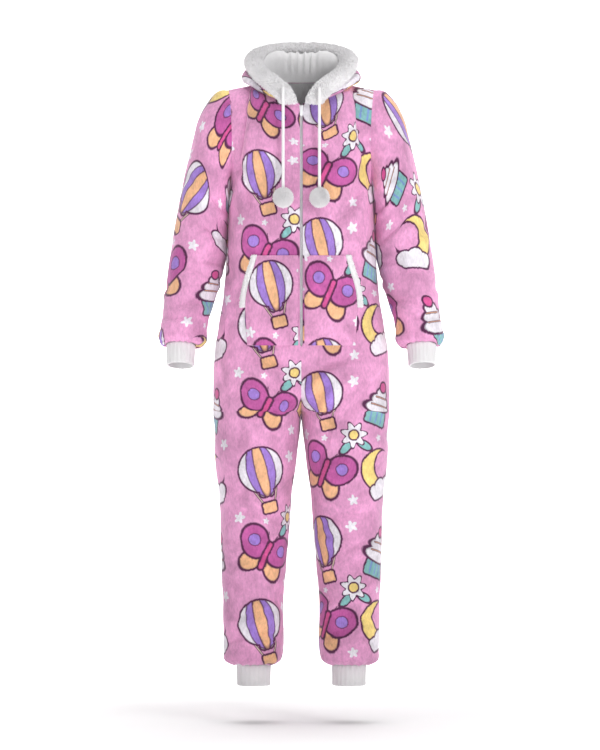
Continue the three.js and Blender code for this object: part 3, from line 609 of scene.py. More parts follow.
# ---------------------------------------------------------------- sleeve surface
SLEEVE_COLUMNS = 96
SLEEVE_RINGS = 96
SLEEVE_REST = 1.0  # between the sleeve and the body where the arm hangs against it


def ring_points(row, columns, swell=0.0):
    """A ring of the sleeve or a cuff; angle 0 is its outer end, going over the front."""
    outer_x, outer_z, inner_x, inner_z, depth, y, tip = row
    centre = np.array([(outer_x + inner_x) / 2, y, (outer_z + inner_z) / 2])
    half = np.array([(outer_x - inner_x) / 2, 0, (outer_z - inner_z) / 2])
    across = unit(half)
    deep = np.array([0, -math.cos(math.radians(tip)), math.sin(math.radians(tip))])
    angle = round_angles(columns)[:, None]
    reach = np.linalg.norm(half) + swell
    return centre + across * reach * np.cos(angle) + deep * (depth + swell) * np.sin(angle)


def armhole_ring():
    points = []
    for k in range(SLEEVE_COLUMNS):
        angle = 2 * math.pi * k / SLEEVE_COLUMNS
        side = -1 if angle < math.pi else 1
        points.append(armhole_point(min(angle, 2 * math.pi - angle), side))
    return np.array(points) + [SEAM + 0.1, 0, 0]


def sleeve_surface():
    """The sleeve's outer and inner faces and its flat lines."""
    rings = [armhole_ring()] + [ring_points(row[1:], SLEEVE_COLUMNS) for row in SLEEVE]
    grid = refined(np.array(rings), SLEEVE_RINGS, 0)
    nearest = grid[:, SLEEVE_COLUMNS // 2]
    body = np.array([table_at(TRUNK, z)[0] for z in nearest[:, 2]])
    gap = (nearest[:, 0] - body - SLEEVE_REST) * smooth(-410, -355, nearest[:, 2])
    gap = np.maximum(0, gap) * smooth(-226, -240, nearest[:, 2])
    part_round = np.linspace(0, 1, SLEEVE_COLUMNS, endpoint=False)
    grid[..., 0] -= gap[:, None] * smooth(0.16, 0.0, np.abs(part_round - 0.5))[None, :]
    around = arc_lengths(closed_up(grid), 1)
    down = arc_lengths(grid, 0).mean(axis=1)[:, None] + 0 * around
    lines = np.stack([around - around[:, -1:] / 2, down], axis=-1)
    normals = grid_normals(grid, closed=True)
    if (normals[SLEEVE_RINGS // 2, 0] * [1, 0, 0]).sum() < 0:
        normals = -normals
    from_top = down[:, :-1]
    from_bottom = down[-1:, :-1] - from_top
    share = part_round[None, :] + 0 * from_top
    girth = around[:, -1:]
    rise = loft_noise(grid, 36.0, 1.0) + SWELL
    for at, *crease in SLEEVE_CREASES:
        away = ((share - at + 0.5) % 1 - 0.5) * girth
        along, *shape = crease
        rise += SLEEVE_CREASING * crease_rise(away, -from_top, [(0, -along, *shape)])
    gather = gather_rise(share) - GATHER_MEAN
    rise += gather * smooth(44, 18, from_bottom) * smooth(0, 7, from_bottom)
    rise += 3.0 * bell(from_bottom, 26, 12)
    rise = rise * smooth(0, 16, from_top)
    toward_body = smooth(0.10, 0.0, np.abs(share - 0.5)) * smooth(330, 260, from_top)
    rise = rise * (1 - toward_body)
    rise *= held(from_top, 5) * held(from_bottom, 3)
    outer = grid + normals * rise[..., None]
    return outer, outer - normals * FLEECE, lines


# ---------------------------------------------------------------- hood surface
def band_row(turn):
    x, y, z, face_y, face_z = table_at(BAND, turn)
    return np.array([x, y, z]), unit([0.1 * float(smooth(0, 0.4, turn)), face_y, face_z])


def outward_at(turn):
    return np.array([math.sin(math.pi * turn), math.cos(math.pi * turn), 0])


def hood_point(turn, step):
    """A point of the hood's pink face: a bow at the sides, the dropped fold behind the neck."""
    last = len(HOOD_FOLD) - 1
    share = step / last
    foot = neck_point(turn) + [0, 0, SEAM + 0.1]
    centre, face = band_row(turn)
    end = centre - face * (TRIM_HALF_THICK + SEAM + 0.5)
    outward = outward_at(turn)
    bow = HOOD_SIDE_BULGE * float(smooth(1.02, 0.5, turn))
    leave = foot + [0, 0, 17] + outward * bow * 0.75
    arrive = end - face * 12 + outward * bow * 1.15
    bowed = foot * (1 - share) ** 3 + leave * 3 * share * (1 - share) ** 2
    bowed = bowed + arrive * 3 * share**2 * (1 - share) + end * share**3
    crown = 1 - float(smooth(0.16, 0.41, turn))
    pouch = 1 - float(smooth(0.04, 0.41, turn))
    weight = mix(crown, pouch, float(smooth(3.5, 6, step)))
    out, up = HOOD_FOLD[step, 1:]
    last_out, last_up = HOOD_FOLD[last, 1:]
    folded = foot + outward * out + [0, 0, up]
    missed = end - (foot + outward * last_out) - [0, 0, last_up]
    return mix(bowed, folded + missed * share**3, weight)


def hood_surface():
    """The hood's pink face and its normals, from the neck seam to the band."""
    steps = range(len(HOOD_FOLD))
    grid = np.array([[hood_point(turn, step) for turn in HOOD_TURNS] for step in steps])
    grid[:, 0, 0] = SEAM / 2
    first_bow = next(i for i, turn in enumerate(HOOD_TURNS) if turn > 0.35)
    for _ in range(3):
        evened = grid.copy()
        evened[1:-1] = mix(grid[1:-1], (grid[:-2] + grid[2:]) / 2, 0.6)
        grid[:, first_bow:] = evened[:, first_bow:]
    normals = grid_normals(grid, sign=-1)
    normals[:, -1] = normals[:, -2]
    for i, turn in enumerate(HOOD_TURNS):
        normals[0, i] = outward_at(turn)
        face = band_row(turn)[1]
        normals[-1, i] -= face * (normals[-1, i] @ face)
    normals[:, 0, 0] = 0
    rows, columns = HOOD_MESH
    grid = refined(refined(grid, rows, 0), columns, 1)
    normals = unit(refined(refined(unit(normals), rows, 0), columns, 1))
    grid[:, 0, 0] = SEAM / 2
    normals[:, 0, 0] = 0
    return grid, unit(normals)


# ---------------------------------------------------------------- meshes
def new_object(name, data, place=(0, 0, 0)):
    thing = bpy.data.objects.new(name, data)
    thing.location = place
    bpy.context.scene.collection.objects.link(thing)
    return thing


def bmesh_object(name, shape):
    mesh = bpy.data.meshes.new(name)
    shape.to_mesh(mesh)
    shape.free()
    return new_object(name, mesh)


def cloth_mesh(name, points, faces, spots):
    """A mesh with its place on the flat cloth as its UV map."""
    mesh = bpy.data.meshes.new(name)
    mesh.from_pydata(points.tolist(), [], faces)
    layer = mesh.uv_layers.new(name="cloth")
    layer.data.foreach_set("uv", np.ascontiguousarray(spots, np.float32).ravel())
    return mesh


def quads(rows, columns, closed, start, lines):
    """Faces of a grid and the places of their corners on the flat cloth."""
    wide = columns if closed else columns - 1
    j, i = np.meshgrid(np.arange(rows - 1), np.arange(wide), indexing="ij")
    beside = (i + 1) % columns
    here, below = j * columns, (j + 1) * columns
    corners = [here + i, here + beside, below + beside, below + i]
    faces = np.stack(corners, axis=-1).reshape(-1, 4) + start
    spots = np.stack([lines[j, i], lines[j, i + 1], lines[j + 1, i + 1], lines[j + 1, i]], axis=2)
    return faces, spots.reshape(-1, 4, 2)


def rim(first, second, closed, spot):
    """Faces that join the edges of two walls."""
    ahead = np.roll(first, -1), np.roll(second, -1)
    faces = np.stack([ahead[0], first, second, ahead[1]], axis=-1)
    faces = faces if closed else faces[:-1]
    return faces, np.broadcast_to(spot, (len(faces), 4, 2))


def volume_of(points, faces):
    a, b, c, d = (points[faces[:, k]] for k in range(4))
    return (a * np.cross(b, c)).sum() + (a * np.cross(c, d)).sum()


def wall_object(name, outer, inner, lines, closed=False, mirror=False, shift=(0, 0)):
    """A closed wall of cloth between two grids. Its first material is on the outer face and
    its second inside. Lines give its UV map, in metres of flat cloth."""
    rows, columns = outer.shape[:2]
    points = np.concatenate([outer.reshape(-1, 3), inner.reshape(-1, 3)]) * MM
    lines = lines * MM
    if mirror:
        points = points * [-1, 1, 1]
        lines = lines * [-1, 1]
    lines = lines + shift
    if closed and lines.shape[1] == columns:
        lines = closed_up(lines)
    count = rows * columns
    outside, outside_spots = quads(rows, columns, closed, 0, lines)
    inside, inside_spots = quads(rows, columns, closed, count, lines)
    parts = [(outside, outside_spots, 0), (inside[:, ::-1], inside_spots[:, ::-1], 1)]
    index = np.arange(count).reshape(rows, columns)
    spot = lines[0, 0]
    edges = [(index[0], count + index[0], closed), (count + index[-1], index[-1], closed)]
    if not closed:
        left, right = index[:, 0], index[:, -1]
        edges += [(count + left, left, False), (right, count + right, False)]
    for first, second, round_it in edges:
        parts.append((*rim(first, second, round_it, spot), 0))
    faces = np.concatenate([part[0] for part in parts])
    spots = np.concatenate([part[1] for part in parts])
    kinds = np.concatenate([np.full(len(part[0]), part[2]) for part in parts])
    if volume_of(points, faces) < 0:
        faces, spots = faces[:, ::-1], spots[:, ::-1]
    mesh = cloth_mesh(name, points, faces.tolist(), spots)
    mesh.polygons.foreach_set("material_index", kinds.astype(np.int32))
    mesh.shade_smooth()
    mesh.set_sharp_from_angle(angle=math.radians(50))
    mesh.update()
    return new_object(name, mesh)


def tube_object(name, rings):
    """A closed body through rings of points, capped at its first and last ring."""
    rows, columns = rings.shape[:2]
    points = rings.reshape(-1, 3) * MM
    flat = np.zeros((rows, columns + 1, 2))
    flat[..., 0] = np.linspace(0, 1, columns + 1)
    flat[..., 1] = (arc_lengths(rings, 0).mean(axis=1) * MM)[:, None]
    faces, spots = quads(rows, columns, True, 0, flat)
    if volume_of(points, faces) < 0:
        faces, spots = faces[:, ::-1], spots[:, ::-1]
    first = list(range(columns))
    last = list(range((rows - 1) * columns, rows * columns))
    outward = faces[0, 0] > faces[0, 1] or faces[0, 1] == faces[0, 0] + 1
    caps = [first[::-1], last] if outward else [first, last[::-1]]
    spots = np.concatenate([spots.reshape(-1, 2), np.zeros((2 * columns, 2))])
    mesh = cloth_mesh(name, points, faces.tolist() + caps, spots)
    with_normals = bmesh.new()
    with_normals.from_mesh(mesh)
    bmesh.ops.recalc_face_normals(with_normals, faces=with_normals.faces)
    with_normals.to_mesh(mesh)
    with_normals.free()
    mesh.shade_smooth()
    mesh.update()
    return new_object(name, mesh)


def outline_object(name, outline, thick, middle, bevel):
    """A flat plate from its outline in x and z, with bevelled edges."""
    shape = bmesh.new()
    front = [shape.verts.new((x * MM, -thick / 2 * MM, z * MM)) for x, z in outline]
    behind = [shape.verts.new((x * MM, thick / 2 * MM, z * MM)) for x, z in outline]
    shape.faces.new(front)
    shape.faces.new(behind[::-1])
    for k, corner in enumerate(front):
        following = (k + 1) % len(front)
        shape.faces.new([front[following], corner, behind[k], behind[following]])
    bmesh.ops.bevel(
        shape, geom=list(shape.edges), offset=bevel * MM, segments=2, affect="EDGES", profile=0.6
    )
    bmesh.ops.translate(shape, verts=shape.verts, vec=Vector(middle) * MM)
    bmesh.ops.recalc_face_normals(shape, faces=shape.faces)
    plate = bmesh_object(name, shape)
    plate.data.shade_smooth()
    plate.data.set_sharp_from_angle(angle=math.radians(40))
    return plate


def paint(thing, *looks):
    for look in looks:
        thing.data.materials.append(MATERIALS[look])


def finish_piece(thing, body="garment", replaces=()):
    """The piece rides on its body and stands for its solids."""
    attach(thing, body)
    if replaces:
        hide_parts(*replaces)


# Chosen, not measured. It isn't their real length.
STATED_FILL = 0.42


def declare_sheet(outer, lines, closed=False):
    """Works out the cut of a piece of cloth, all round it on a tube, as it measures, but for the
    length of the hood's pieces: see STATED_FILL. Nothing is kept: the sizes it works out are
    thrown away."""
    grid = closed_up(outer) if closed else outer
    a, b = grid[:-1, :-1] - grid[1:, 1:], grid[:-1, 1:] - grid[1:, :-1]
    area = float(np.linalg.norm(np.cross(a, b), axis=-1).sum() / 2) * MM * MM
    width = max(float(arc_lengths(grid, 1).max()), float(np.ptp(lines[..., 0]))) * MM
    length = min(float(arc_lengths(grid, 0).max()) * MM, area / (STATED_FILL * width))
    area = min(area, width * length)


# ---------------------------------------------------------------- nodes
def plug(tree, slot, value):
    """Links a field or a socket, or sets a plain value."""
    value = value.socket if isinstance(value, Field) else value
    if isinstance(value, bpy.types.NodeSocket):
        tree.links.new(value, slot)
    else:
        slot.default_value = value


def add_node(tree, kind, links=None, **settings):
    """A node with its settings; links maps its inputs to fields, sockets or values."""
    node = tree.nodes.new(kind)
    for key, value in settings.items():
        setattr(node, key, value)
    for key, value in (links or {}).items():
        plug(tree, node.inputs[key], value)
    return node


def node_tree(name, kind, inputs, outputs):
    """A node group from the names, socket types and defaults of its inputs and outputs."""
    tree = bpy.data.node_groups.new(name, f"{kind}NodeTree")
    for in_out, sockets in (("INPUT", inputs), ("OUTPUT", outputs)):
        for label, socket_kind, *default in sockets:
            socket = tree.interface.new_socket(
                name=label, in_out=in_out, socket_type=f"NodeSocket{socket_kind}"
            )
            if default:
                socket.default_value = default[0]
    return tree, tree.nodes.new("NodeGroupInput").outputs, tree.nodes.new("NodeGroupOutput").inputs


def geometry_tree(name, *inputs):
    mesh = ("Geometry", "Geometry")
    return node_tree(name, "Geometry", [mesh, *inputs], [mesh])


def run_nodes(thing, tree, values):
    """Runs a tree on an object and keeps the result as its plain mesh."""
    modifier = thing.modifiers.new(tree.name, "NODES")
    modifier.node_group = tree
    for item in tree.interface.items_tree:
        if item.in_out == "INPUT" and item.name in values:
            modifier[item.identifier] = values[item.name]
    graph = bpy.context.evaluated_depsgraph_get()
    made = bpy.data.meshes.new_from_object(
        thing.evaluated_get(graph), preserve_all_data_layers=True, depsgraph=graph
    )
    thing.modifiers.clear()
    thing.data = made
    return thing


def pile_tree():
    """Short tufts of pile over a surface."""
    tree, given, result = geometry_tree(
        "Plush Pile",
        ("Density", "Float", 200000.0),
        ("Length", "Float", 0.005),
        ("Width", "Float", 0.0011),
        ("Lean", "Float", 0.5),
        ("Seed", "Int", 1),
        ("Material", "Material"),
    )
    put = partial(add_node, tree)
    spread = put(
        "GeometryNodeDistributePointsOnFaces",
        {"Mesh": given["Geometry"], "Density": given["Density"], "Seed": given["Seed"]},
        distribute_method="RANDOM",
    )
    tuft = put(
        "GeometryNodeMeshCone",
        {"Vertices": 3, "Radius Top": 0.0, "Radius Bottom": given["Width"],
         "Depth": given["Length"]},
        fill_type="NONE",
    )
    lean = Field(tree, given["Lean"])
    back = lean * -1.0
    low = put("ShaderNodeCombineXYZ", {0: back, 1: back, 2: -TUFT_SPIN})
    high = put("ShaderNodeCombineXYZ", {0: lean, 1: lean, 2: TUFT_SPIN})
    tilt = put(
        "FunctionNodeRandomValue",
        {0: low.outputs[0], 1: high.outputs[0], "Seed": given["Seed"]},
        data_type="FLOAT_VECTOR",
    )
    turned = put(
        "FunctionNodeRotateRotation",
        {"Rotation": spread.outputs["Rotation"], "Rotate By": tilt.outputs[0]},
        rotation_space="LOCAL",
    )
    size = put("FunctionNodeRandomValue", {2: 0.6, 3: 1.25}, data_type="FLOAT")
    placed = put(
        "GeometryNodeInstanceOnPoints",
        {"Points": spread.outputs["Points"], "Instance": tuft.outputs["Mesh"],
         "Rotation": turned.outputs[0], "Scale": size.outputs[1]},
    )
    real = put("GeometryNodeRealizeInstances", {0: placed.outputs[0]})
    painted = put("GeometryNodeSetMaterial", {0: real.outputs[0], "Material": given["Material"]})
    together = put("GeometryNodeJoinGeometry", {0: given["Geometry"]})
    plug(tree, together.inputs[0], painted.outputs[0])
    plug(tree, result[0], together.outputs[0])
    return tree


def row_tree():
    """Small parts set in a row along a line, such as stitches or zip teeth."""
    tree, given, result = geometry_tree(
        "Row Of Parts",
        ("Spacing", "Float", 0.004),
        ("Size", "Vector", (0.001, 0.001, 0.003)),
        ("Roundness", "Int", 1),
        ("Material", "Material"),
    )
    put = partial(add_node, tree)
    line = put("GeometryNodeMeshToCurve", {0: given["Geometry"]})
    points = put(
        "GeometryNodeCurveToPoints", {"Curve": line.outputs[0], "Length": given["Spacing"]},
        mode="LENGTH",
    )
    along = put(
        "FunctionNodeAxesToRotation",
        {"Primary Axis": points.outputs["Tangent"], "Secondary Axis": (1.0, 0.0, 0.0)},
        primary_axis="Z",
        secondary_axis="X",
    )
    part = put(
        "GeometryNodeMeshIcoSphere", {"Radius": 0.5, "Subdivisions": given["Roundness"]}
    )
    placed = put(
        "GeometryNodeInstanceOnPoints",
        {"Points": points.outputs["Points"], "Instance": part.outputs["Mesh"],
         "Rotation": along.outputs[0], "Scale": given["Size"]},
    )
    real = put("GeometryNodeRealizeInstances", {0: placed.outputs[0]})
    soft = put("GeometryNodeSetShadeSmooth", {0: real.outputs[0]})
    painted = put("GeometryNodeSetMaterial", {0: soft.outputs[0], "Material": given["Material"]})
    plug(tree, result[0], painted.outputs[0])
    return tree


def rib_tree():
    """Knitted ribs raised along a cuff, from the share round it kept on its points."""
    tree, given, result = geometry_tree(
        "Rib Knit", ("Count", "Int", RIB_COUNT), ("Rise", "Float", 0.0011)
    )
    put = partial(add_node, tree)
    share, strength = (
        put("GeometryNodeInputNamedAttribute", {"Name": name}, data_type="FLOAT").outputs[0]
        for name in ("round", "ribbed")
    )
    wave = (Field(tree, share) * given["Count"] * (2 * math.pi)).maths("COSINE")
    ribs = wave.maths("MULTIPLY_ADD", 0.5, 0.5).maths("POWER", 0.7)
    normal = put("GeometryNodeInputNormal")
    offset = put(
        "ShaderNodeVectorMath",
        {0: normal.outputs[0], "Scale": ribs * given["Rise"] * strength},
        operation="SCALE",
    )
    moved = put(
        "GeometryNodeSetPosition", {0: given["Geometry"], "Offset": offset.outputs[0]}
    )
    plug(tree, result[0], moved.outputs[0])
    return tree


TREES = {}


def tree_named(maker):
    if maker not in TREES:
        TREES[maker] = maker()
    return TREES[maker]


def add_pile(thing, *, density, length, width, seed, lean=0.5):
    values = {"Density": density, "Length": length, "Width": width, "Lean": lean, "Seed": seed,
              "Material": MATERIALS["pile"]}
    return run_nodes(thing, tree_named(pile_tree), values)


def row_of_parts(name, lines, spacing, size, look):
    """Parts along lines of points in millimetres."""
    mesh = bpy.data.meshes.new(name)
    points, edges = [], []
    for line in lines:
        edges += [(len(points) + k, len(points) + k + 1) for k in range(len(line) - 1)]
        points += [tuple(p) for p in np.asarray(line) * MM]
    mesh.from_pydata(points, edges, [])
    values = {"Spacing": spacing, "Size": [s * MM for s in size], "Roundness": 1,
              "Material": MATERIALS[look]}
    return run_nodes(new_object(name, mesh), tree_named(row_tree), values)


# ---------------------------------------------------------------- shader arithmetic
class Field:
    """A value worked out by nodes and written like arithmetic."""

    def __init__(self, tree, socket):
        self.tree = tree
        self.socket = socket

    def maths(self, operation, *others, clamped=False):
        links = dict(enumerate((self, *others)))
        node = add_node(
            self.tree, "ShaderNodeMath", links, operation=operation, use_clamp=clamped
        )
        return Field(self.tree, node.outputs[0])

    def __add__(self, other):
        return self.maths("ADD", other)

    def __sub__(self, other):
        return self.maths("SUBTRACT", other)

    def __mul__(self, other):
        return self.maths("MULTIPLY", other)

    def least(self, other):
        return self.maths("MINIMUM", other)

    def most(self, other):
        return self.maths("MAXIMUM", other)

    def inside(self, soft, grow=0.0):
        """1 where this distance is under grow, fading over soft."""
        return self.maths("MULTIPLY_ADD", -1 / soft, 0.5 + grow / soft, clamped=True)


class Spot(Field):
    """A place on the flat cloth, in centimetres, with the distances of simple shapes."""

    def vector_maths(self, operation, *others):
        links = dict(zip((0, "Scale" if operation == "SCALE" else 1), (self, *others)))
        node = add_node(self.tree, "ShaderNodeVectorMath", links, operation=operation)
        if operation in ("LENGTH", "DOT_PRODUCT"):
            return Field(self.tree, node.outputs["Value"])
        return Spot(self.tree, node.outputs["Vector"])

    def part(self, axis):
        node = add_node(self.tree, "ShaderNodeSeparateXYZ", {0: self})
        return Field(self.tree, node.outputs[axis])

    def seen_from(self, x, y, turn=0.0, size=1.0):
        """The same place measured from a motif's own middle, turn and size."""
        links = {"Vector": self, "Location": (x, y, 0), "Rotation": (0, 0, math.radians(turn)),
                 "Scale": (size, size, size)}
        node = add_node(self.tree, "ShaderNodeMapping", links, vector_type="TEXTURE")
        return Spot(self.tree, node.outputs[0])

    def mirrored(self):
        """Both halves of a motif with two like sides."""
        return spot_at(self.tree, self.part("X").maths("ABSOLUTE"), self.part("Y"))

    def circle(self, x, y, radius):
        return self.vector_maths("SUBTRACT", (x, y, 0)).vector_maths("LENGTH") - radius

    def oval(self, x, y, wide, tall, turn=0.0):
        own = self.seen_from(x, y, turn).vector_maths("DIVIDE", (wide, tall, 1))
        return (own.vector_maths("LENGTH") - 1.0) * min(wide, tall)

    def block(self, x, y, wide, tall, corner, turn=0.0):
        own = self.seen_from(x, y, turn).vector_maths("ABSOLUTE")
        past = own.vector_maths("SUBTRACT", (wide, tall, 0)).vector_maths("MAXIMUM", (0, 0, 0))
        return past.vector_maths("LENGTH") - corner

    def bar(self, start, end, radius):
        run = Vector((end[0] - start[0], end[1] - start[1], 0))
        own = self.vector_maths("SUBTRACT", (*start, 0))
        share = own.vector_maths("DOT_PRODUCT", tuple(run / run.length_squared))
        share = share.maths("ADD", 0.0, clamped=True)
        on_line = spot_at(self.tree, run.x, run.y).vector_maths("SCALE", share)
        return own.vector_maths("SUBTRACT", on_line).vector_maths("LENGTH") - radius

    def petals(self, x, y, radius, depth, count, turn=0.0):
        """A star or a flower, whose edge waves in and out count times."""
        own = self.seen_from(x, y, turn)
        angle = own.part("Y").maths("ARCTAN2", own.part("X")) * float(count)
        return own.vector_maths("LENGTH") - angle.maths("COSINE") * depth - radius


def spot_at(tree, x, y):
    return Spot(tree, add_node(tree, "ShaderNodeCombineXYZ", {0: x, 1: y}).outputs[0])


def blended(tree, below, above, mask):
    """A colour laid over another where the mask is 1."""
    links = {"Factor": mask, 6: below, 7: above}
    return add_node(tree, "ShaderNodeMix", links, data_type="RGBA").outputs[2]


# ---------------------------------------------------------------- cloth print
TILE_WIDE, TILE_TALL = 29.0, 35.0
LINE, THIN = 0.17, 0.07  # half widths of drawn lines, centimetres
BLUR = 0.16  # how far the pile blurs an edge


class Drawing:
    """Shapes painted one over another, each with a drawn line round it."""

    def __init__(self, tree, ground, inks):
        self.tree = tree
        self.colour = ground
        self.inks = inks

    def lay(self, ink, mask):
        self.colour = blended(self.tree, self.colour, self.inks[ink], mask)

    def fill(self, distance, ink, line=LINE):
        if line:
            self.lay("line", distance.inside(BLUR, 2 * line))
        self.lay(ink, distance.inside(BLUR))


def draw_balloon(art, spot):
    """A striped balloon with a basket."""
    for side in (-1, 1):
        art.fill(spot.bar((side * 2.2, -1.2), (side * 0.9, -4.2), 0.06), "cream", THIN)
    art.fill(spot.block(0, -4.9, 0.9, 0.6, 0.25), "peach")
    envelope = spot.circle(0, 1.6, 3.7).least(spot.block(0, -1.9, 0.6, 0.5, 0.5))
    art.fill(envelope, "white")
    for wide, ink in ((2.3, "purple"), (0.9, "peach")):
        art.fill(spot.oval(0, 1.6, wide, 4.4).most(envelope), ink, 0.08)


def draw_cupcake(art, spot):
    """A cupcake with a swirl of icing and a cherry."""
    cup = spot.block(0, -2.6, 1.9, 1.5, 0.35)
    art.fill(cup, "teal")
    for x in (-1.2, 0, 1.2):
        art.fill(spot.bar((x, -4.1), (x * 1.1, -1.0), 0.16).most(cup), "blue", 0)
    icing = spot.oval(0, -0.6, 3.1, 1.25).least(spot.oval(0, 0.9, 2.3, 1.15))
    art.fill(icing.least(spot.oval(0, 2.2, 1.35, 1.0)), "white")
    for start, end in (((-2.2, -0.1), (2.2, 0.2)), ((-1.5, 1.4), (1.5, 1.7))):
        art.fill(spot.bar(start, end, 0.05), "peach", THIN)
    art.fill(spot.circle(0, 3.5, 0.8), "rose")


def draw_moon(art, spot):
    """A crescent moon over a small cloud."""
    cut = spot.circle(1.5, 1.2, 2.7) * -1.0
    art.fill(spot.circle(0, 0.7, 3.4).most(cut), "yellow")
    cloud = spot.block(0.2, -3.5, 1.9, 0.2, 0.5)
    for x, y, radius in ((-1.4, -3.0, 1.15), (0.3, -2.5, 1.5), (2.2, -2.5, 1.35)):
        cloud = cloud.least(spot.circle(x, y, radius))
    art.fill(cloud, "white")


def draw_butterfly(art, spot):
    """A butterfly with two pairs of wings."""
    half = spot.mirrored()
    art.fill(half.oval(1.75, -1.5, 1.3, 1.9, 35), "peach")
    art.fill(half.oval(2.3, 1.3, 2.0, 2.5, -40), "berry")
    art.fill(half.circle(2.5, 1.5, 0.85), "purple", THIN)
    art.fill(half.bar((0, 1.5), (0.9, 3.4), 0.07), "line", 0)
    art.fill(spot.bar((0, -2.0), (0, 1.7), 0.32), "rose")


def draw_flower(art, spot):
    """A daisy with two leaves."""
    for side in (-1, 1):
        art.fill(spot.oval(side * 2.0, -2.5, 1.5, 0.7, -40 * side), "teal")
    art.fill(spot.petals(0, 0, 2.2, 0.55, 7), "white")
    art.fill(spot.circle(0, 0, 0.95), "yellow")


# motif, x, y, turn, size
MOTIFS = (
    (draw_balloon, 7.4, 26.2, 14, 1.36),
    (draw_cupcake, 21.9, 25.4, -18, 1.32),
    (draw_moon, 21.6, 8.4, 12, 1.34),
    (draw_butterfly, 7.9, 8.8, -24, 1.5),
    (draw_flower, 14.9, 17.3, 8, 1.05),
)
# x, y, radius, turn
STARS = (
    (1.9, 17.3, 1.05, 10),
    (14.4, 31.4, 1.1, 40),
    (14.8, 2.4, 0.95, 25),
    (26.6, 16.6, 1.05, 55),
    (8.0, 16.6, 0.6, 5),
    (21.3, 16.6, 0.65, 33),
    (14.8, 9.4, 0.65, 12),
)


def print_group(colours):
    """The cloth's print, repeated on a brick layout over the flat cloth."""
    group, given, result = node_tree(
        "Party Print",
        "Shader",
        [("Place", "Vector"), ("Ground", "Color"), ("Wobble", "Float", 0.0)],
        [("Color", "Color")],
    )
    flat = Spot(group, given["Place"]).vector_maths("SCALE", 100.0)
    across, down = (flat.part(axis) + given["Wobble"] for axis in "XY")
    column = (across * (1 / TILE_WIDE)).maths("FLOOR")
    down = down + column.maths("MODULO", 2.0) * (TILE_TALL / 2)
    up = down.maths("WRAP", TILE_TALL, 0.0) * -1.0 + TILE_TALL
    spot = spot_at(group, across.maths("WRAP", TILE_WIDE, 0.0), up)
    inks = {name: (*getattr(colours, name), 1) for name in PRINT_COLOURS}
    art = Drawing(group, given["Ground"], inks)
    for x, y, radius, turn in STARS:
        art.fill(spot.petals(x, y, radius, radius * 0.3, 5, turn), "white", 0)
    for draw, *place in MOTIFS:
        draw(art, spot.seen_from(*place))
    plug(group, result["Color"], art.colour)
    return group


def nap_group():
    """Brushed pile: soft patches of tone and short hairs."""
    group, given, result = node_tree(
        "Brushed Nap",
        "Shader",
        [("Place", "Vector"), ("Hair", "Float", 420.0), ("Patch", "Float", 34.0)],
        [("Patches", "Float"), ("Hairs", "Float")],
    )
    place = given["Place"]
    drawn_out = add_node(group, "ShaderNodeMapping", {"Vector": place, "Scale": (1.0, 1.0, 0.45)})
    for out, links in (
        ("Hairs", {"Vector": drawn_out.outputs[0], "Scale": given["Hair"], "Detail": 3.0,
                   "Roughness": 0.65}),
        ("Patches", {"Vector": place, "Scale": given["Patch"], "Detail": 4.0, "Roughness": 0.6,
                     "Distortion": 0.6}),
    ):
        plug(group, result[out], add_node(group, "ShaderNodeTexNoise", links).outputs[0])
    return group


# ---------------------------------------------------------------- materials
def material_tree(name, looks):
    """A material whose surface has the inputs given in looks."""
    material = bpy.data.materials.new(name)
    material.use_nodes = True
    tree = material.node_tree
    tree.nodes.clear()
    surface = add_node(tree, "ShaderNodeBsdfPrincipled", looks)
    add_node(tree, "ShaderNodeOutputMaterial", {"Surface": surface.outputs[0]})
    return material, tree, surface


def place_on(tree):
    return tree.nodes.new("ShaderNodeTexCoord").outputs["Object"]


def cloth_place(tree):
    return add_node(tree, "ShaderNodeUVMap", uv_map="cloth").outputs[0]


def ramp(tree, value, *limits):
    """A value between two limits, brought to lie between two others."""
    keys = ("Value", "From Min", "From Max", "To Min", "To Max")
    return add_node(tree, "ShaderNodeMapRange", dict(zip(keys, (value, *limits)))).outputs[0]


def tinted(tree, surface, colour, strength):
    """Gives the surface a colour made lighter or darker by a value round 1."""
    links = {0: colour, "Scale": strength}
    tint = add_node(tree, "ShaderNodeVectorMath", links, operation="SCALE")
    plug(tree, surface.inputs["Base Color"], tint.outputs[0])


def bumped(tree, surface, height, strength, distance):
    links = {"Height": height, "Strength": strength, "Distance": distance}
    bump = add_node(tree, "ShaderNodeBump", links)
    plug(tree, surface.inputs["Normal"], bump.outputs[0])


def nap_node(tree, nap, hair, patch):
    links = {"Place": place_on(tree), "Hair": hair, "Patch": patch}
    return add_group(tree, nap, links).outputs


def add_group(tree, group, links):
    node = add_node(tree, "ShaderNodeGroup", node_tree=group)
    for key, value in links.items():
        plug(tree, node.inputs[key], value)
    return node


def plush_material(name, colour, nap, *, printed=None, hair=210.0, patch=15.0, contrast=0.24,
                   bump=0.5):
    """Cloth with a pile. Its tone changes in soft patches and its hairs catch light."""
    looks = {"Roughness": 0.92, "Specular IOR Level": 0.15, "Sheen Weight": 0.5,
             "Sheen Roughness": 0.45, "Sheen Tint": (*[mix(1.0, c, 0.35) for c in colour], 1)}
    material, tree, surface = material_tree(name, looks)
    fuzz = nap_node(tree, nap, hair, patch)
    ground = colour
    if printed:
        wobble = ramp(tree, fuzz["Hairs"], 0.3, 0.7, -0.09, 0.09)
        links = {"Place": cloth_place(tree), "Wobble": wobble, "Ground": (*colour, 1)}
        ground = add_group(tree, printed, links).outputs["Color"]
    patches, hairs = (
        Field(tree, ramp(tree, fuzz[key], 0.3, 0.7, 1 - depth, 1 + depth))
        for key, depth in (("Patches", contrast), ("Hairs", contrast * 0.6))
    )
    tinted(tree, surface, ground, patches * hairs)
    bumped(tree, surface, fuzz["Hairs"], bump, 0.0016)
    return material


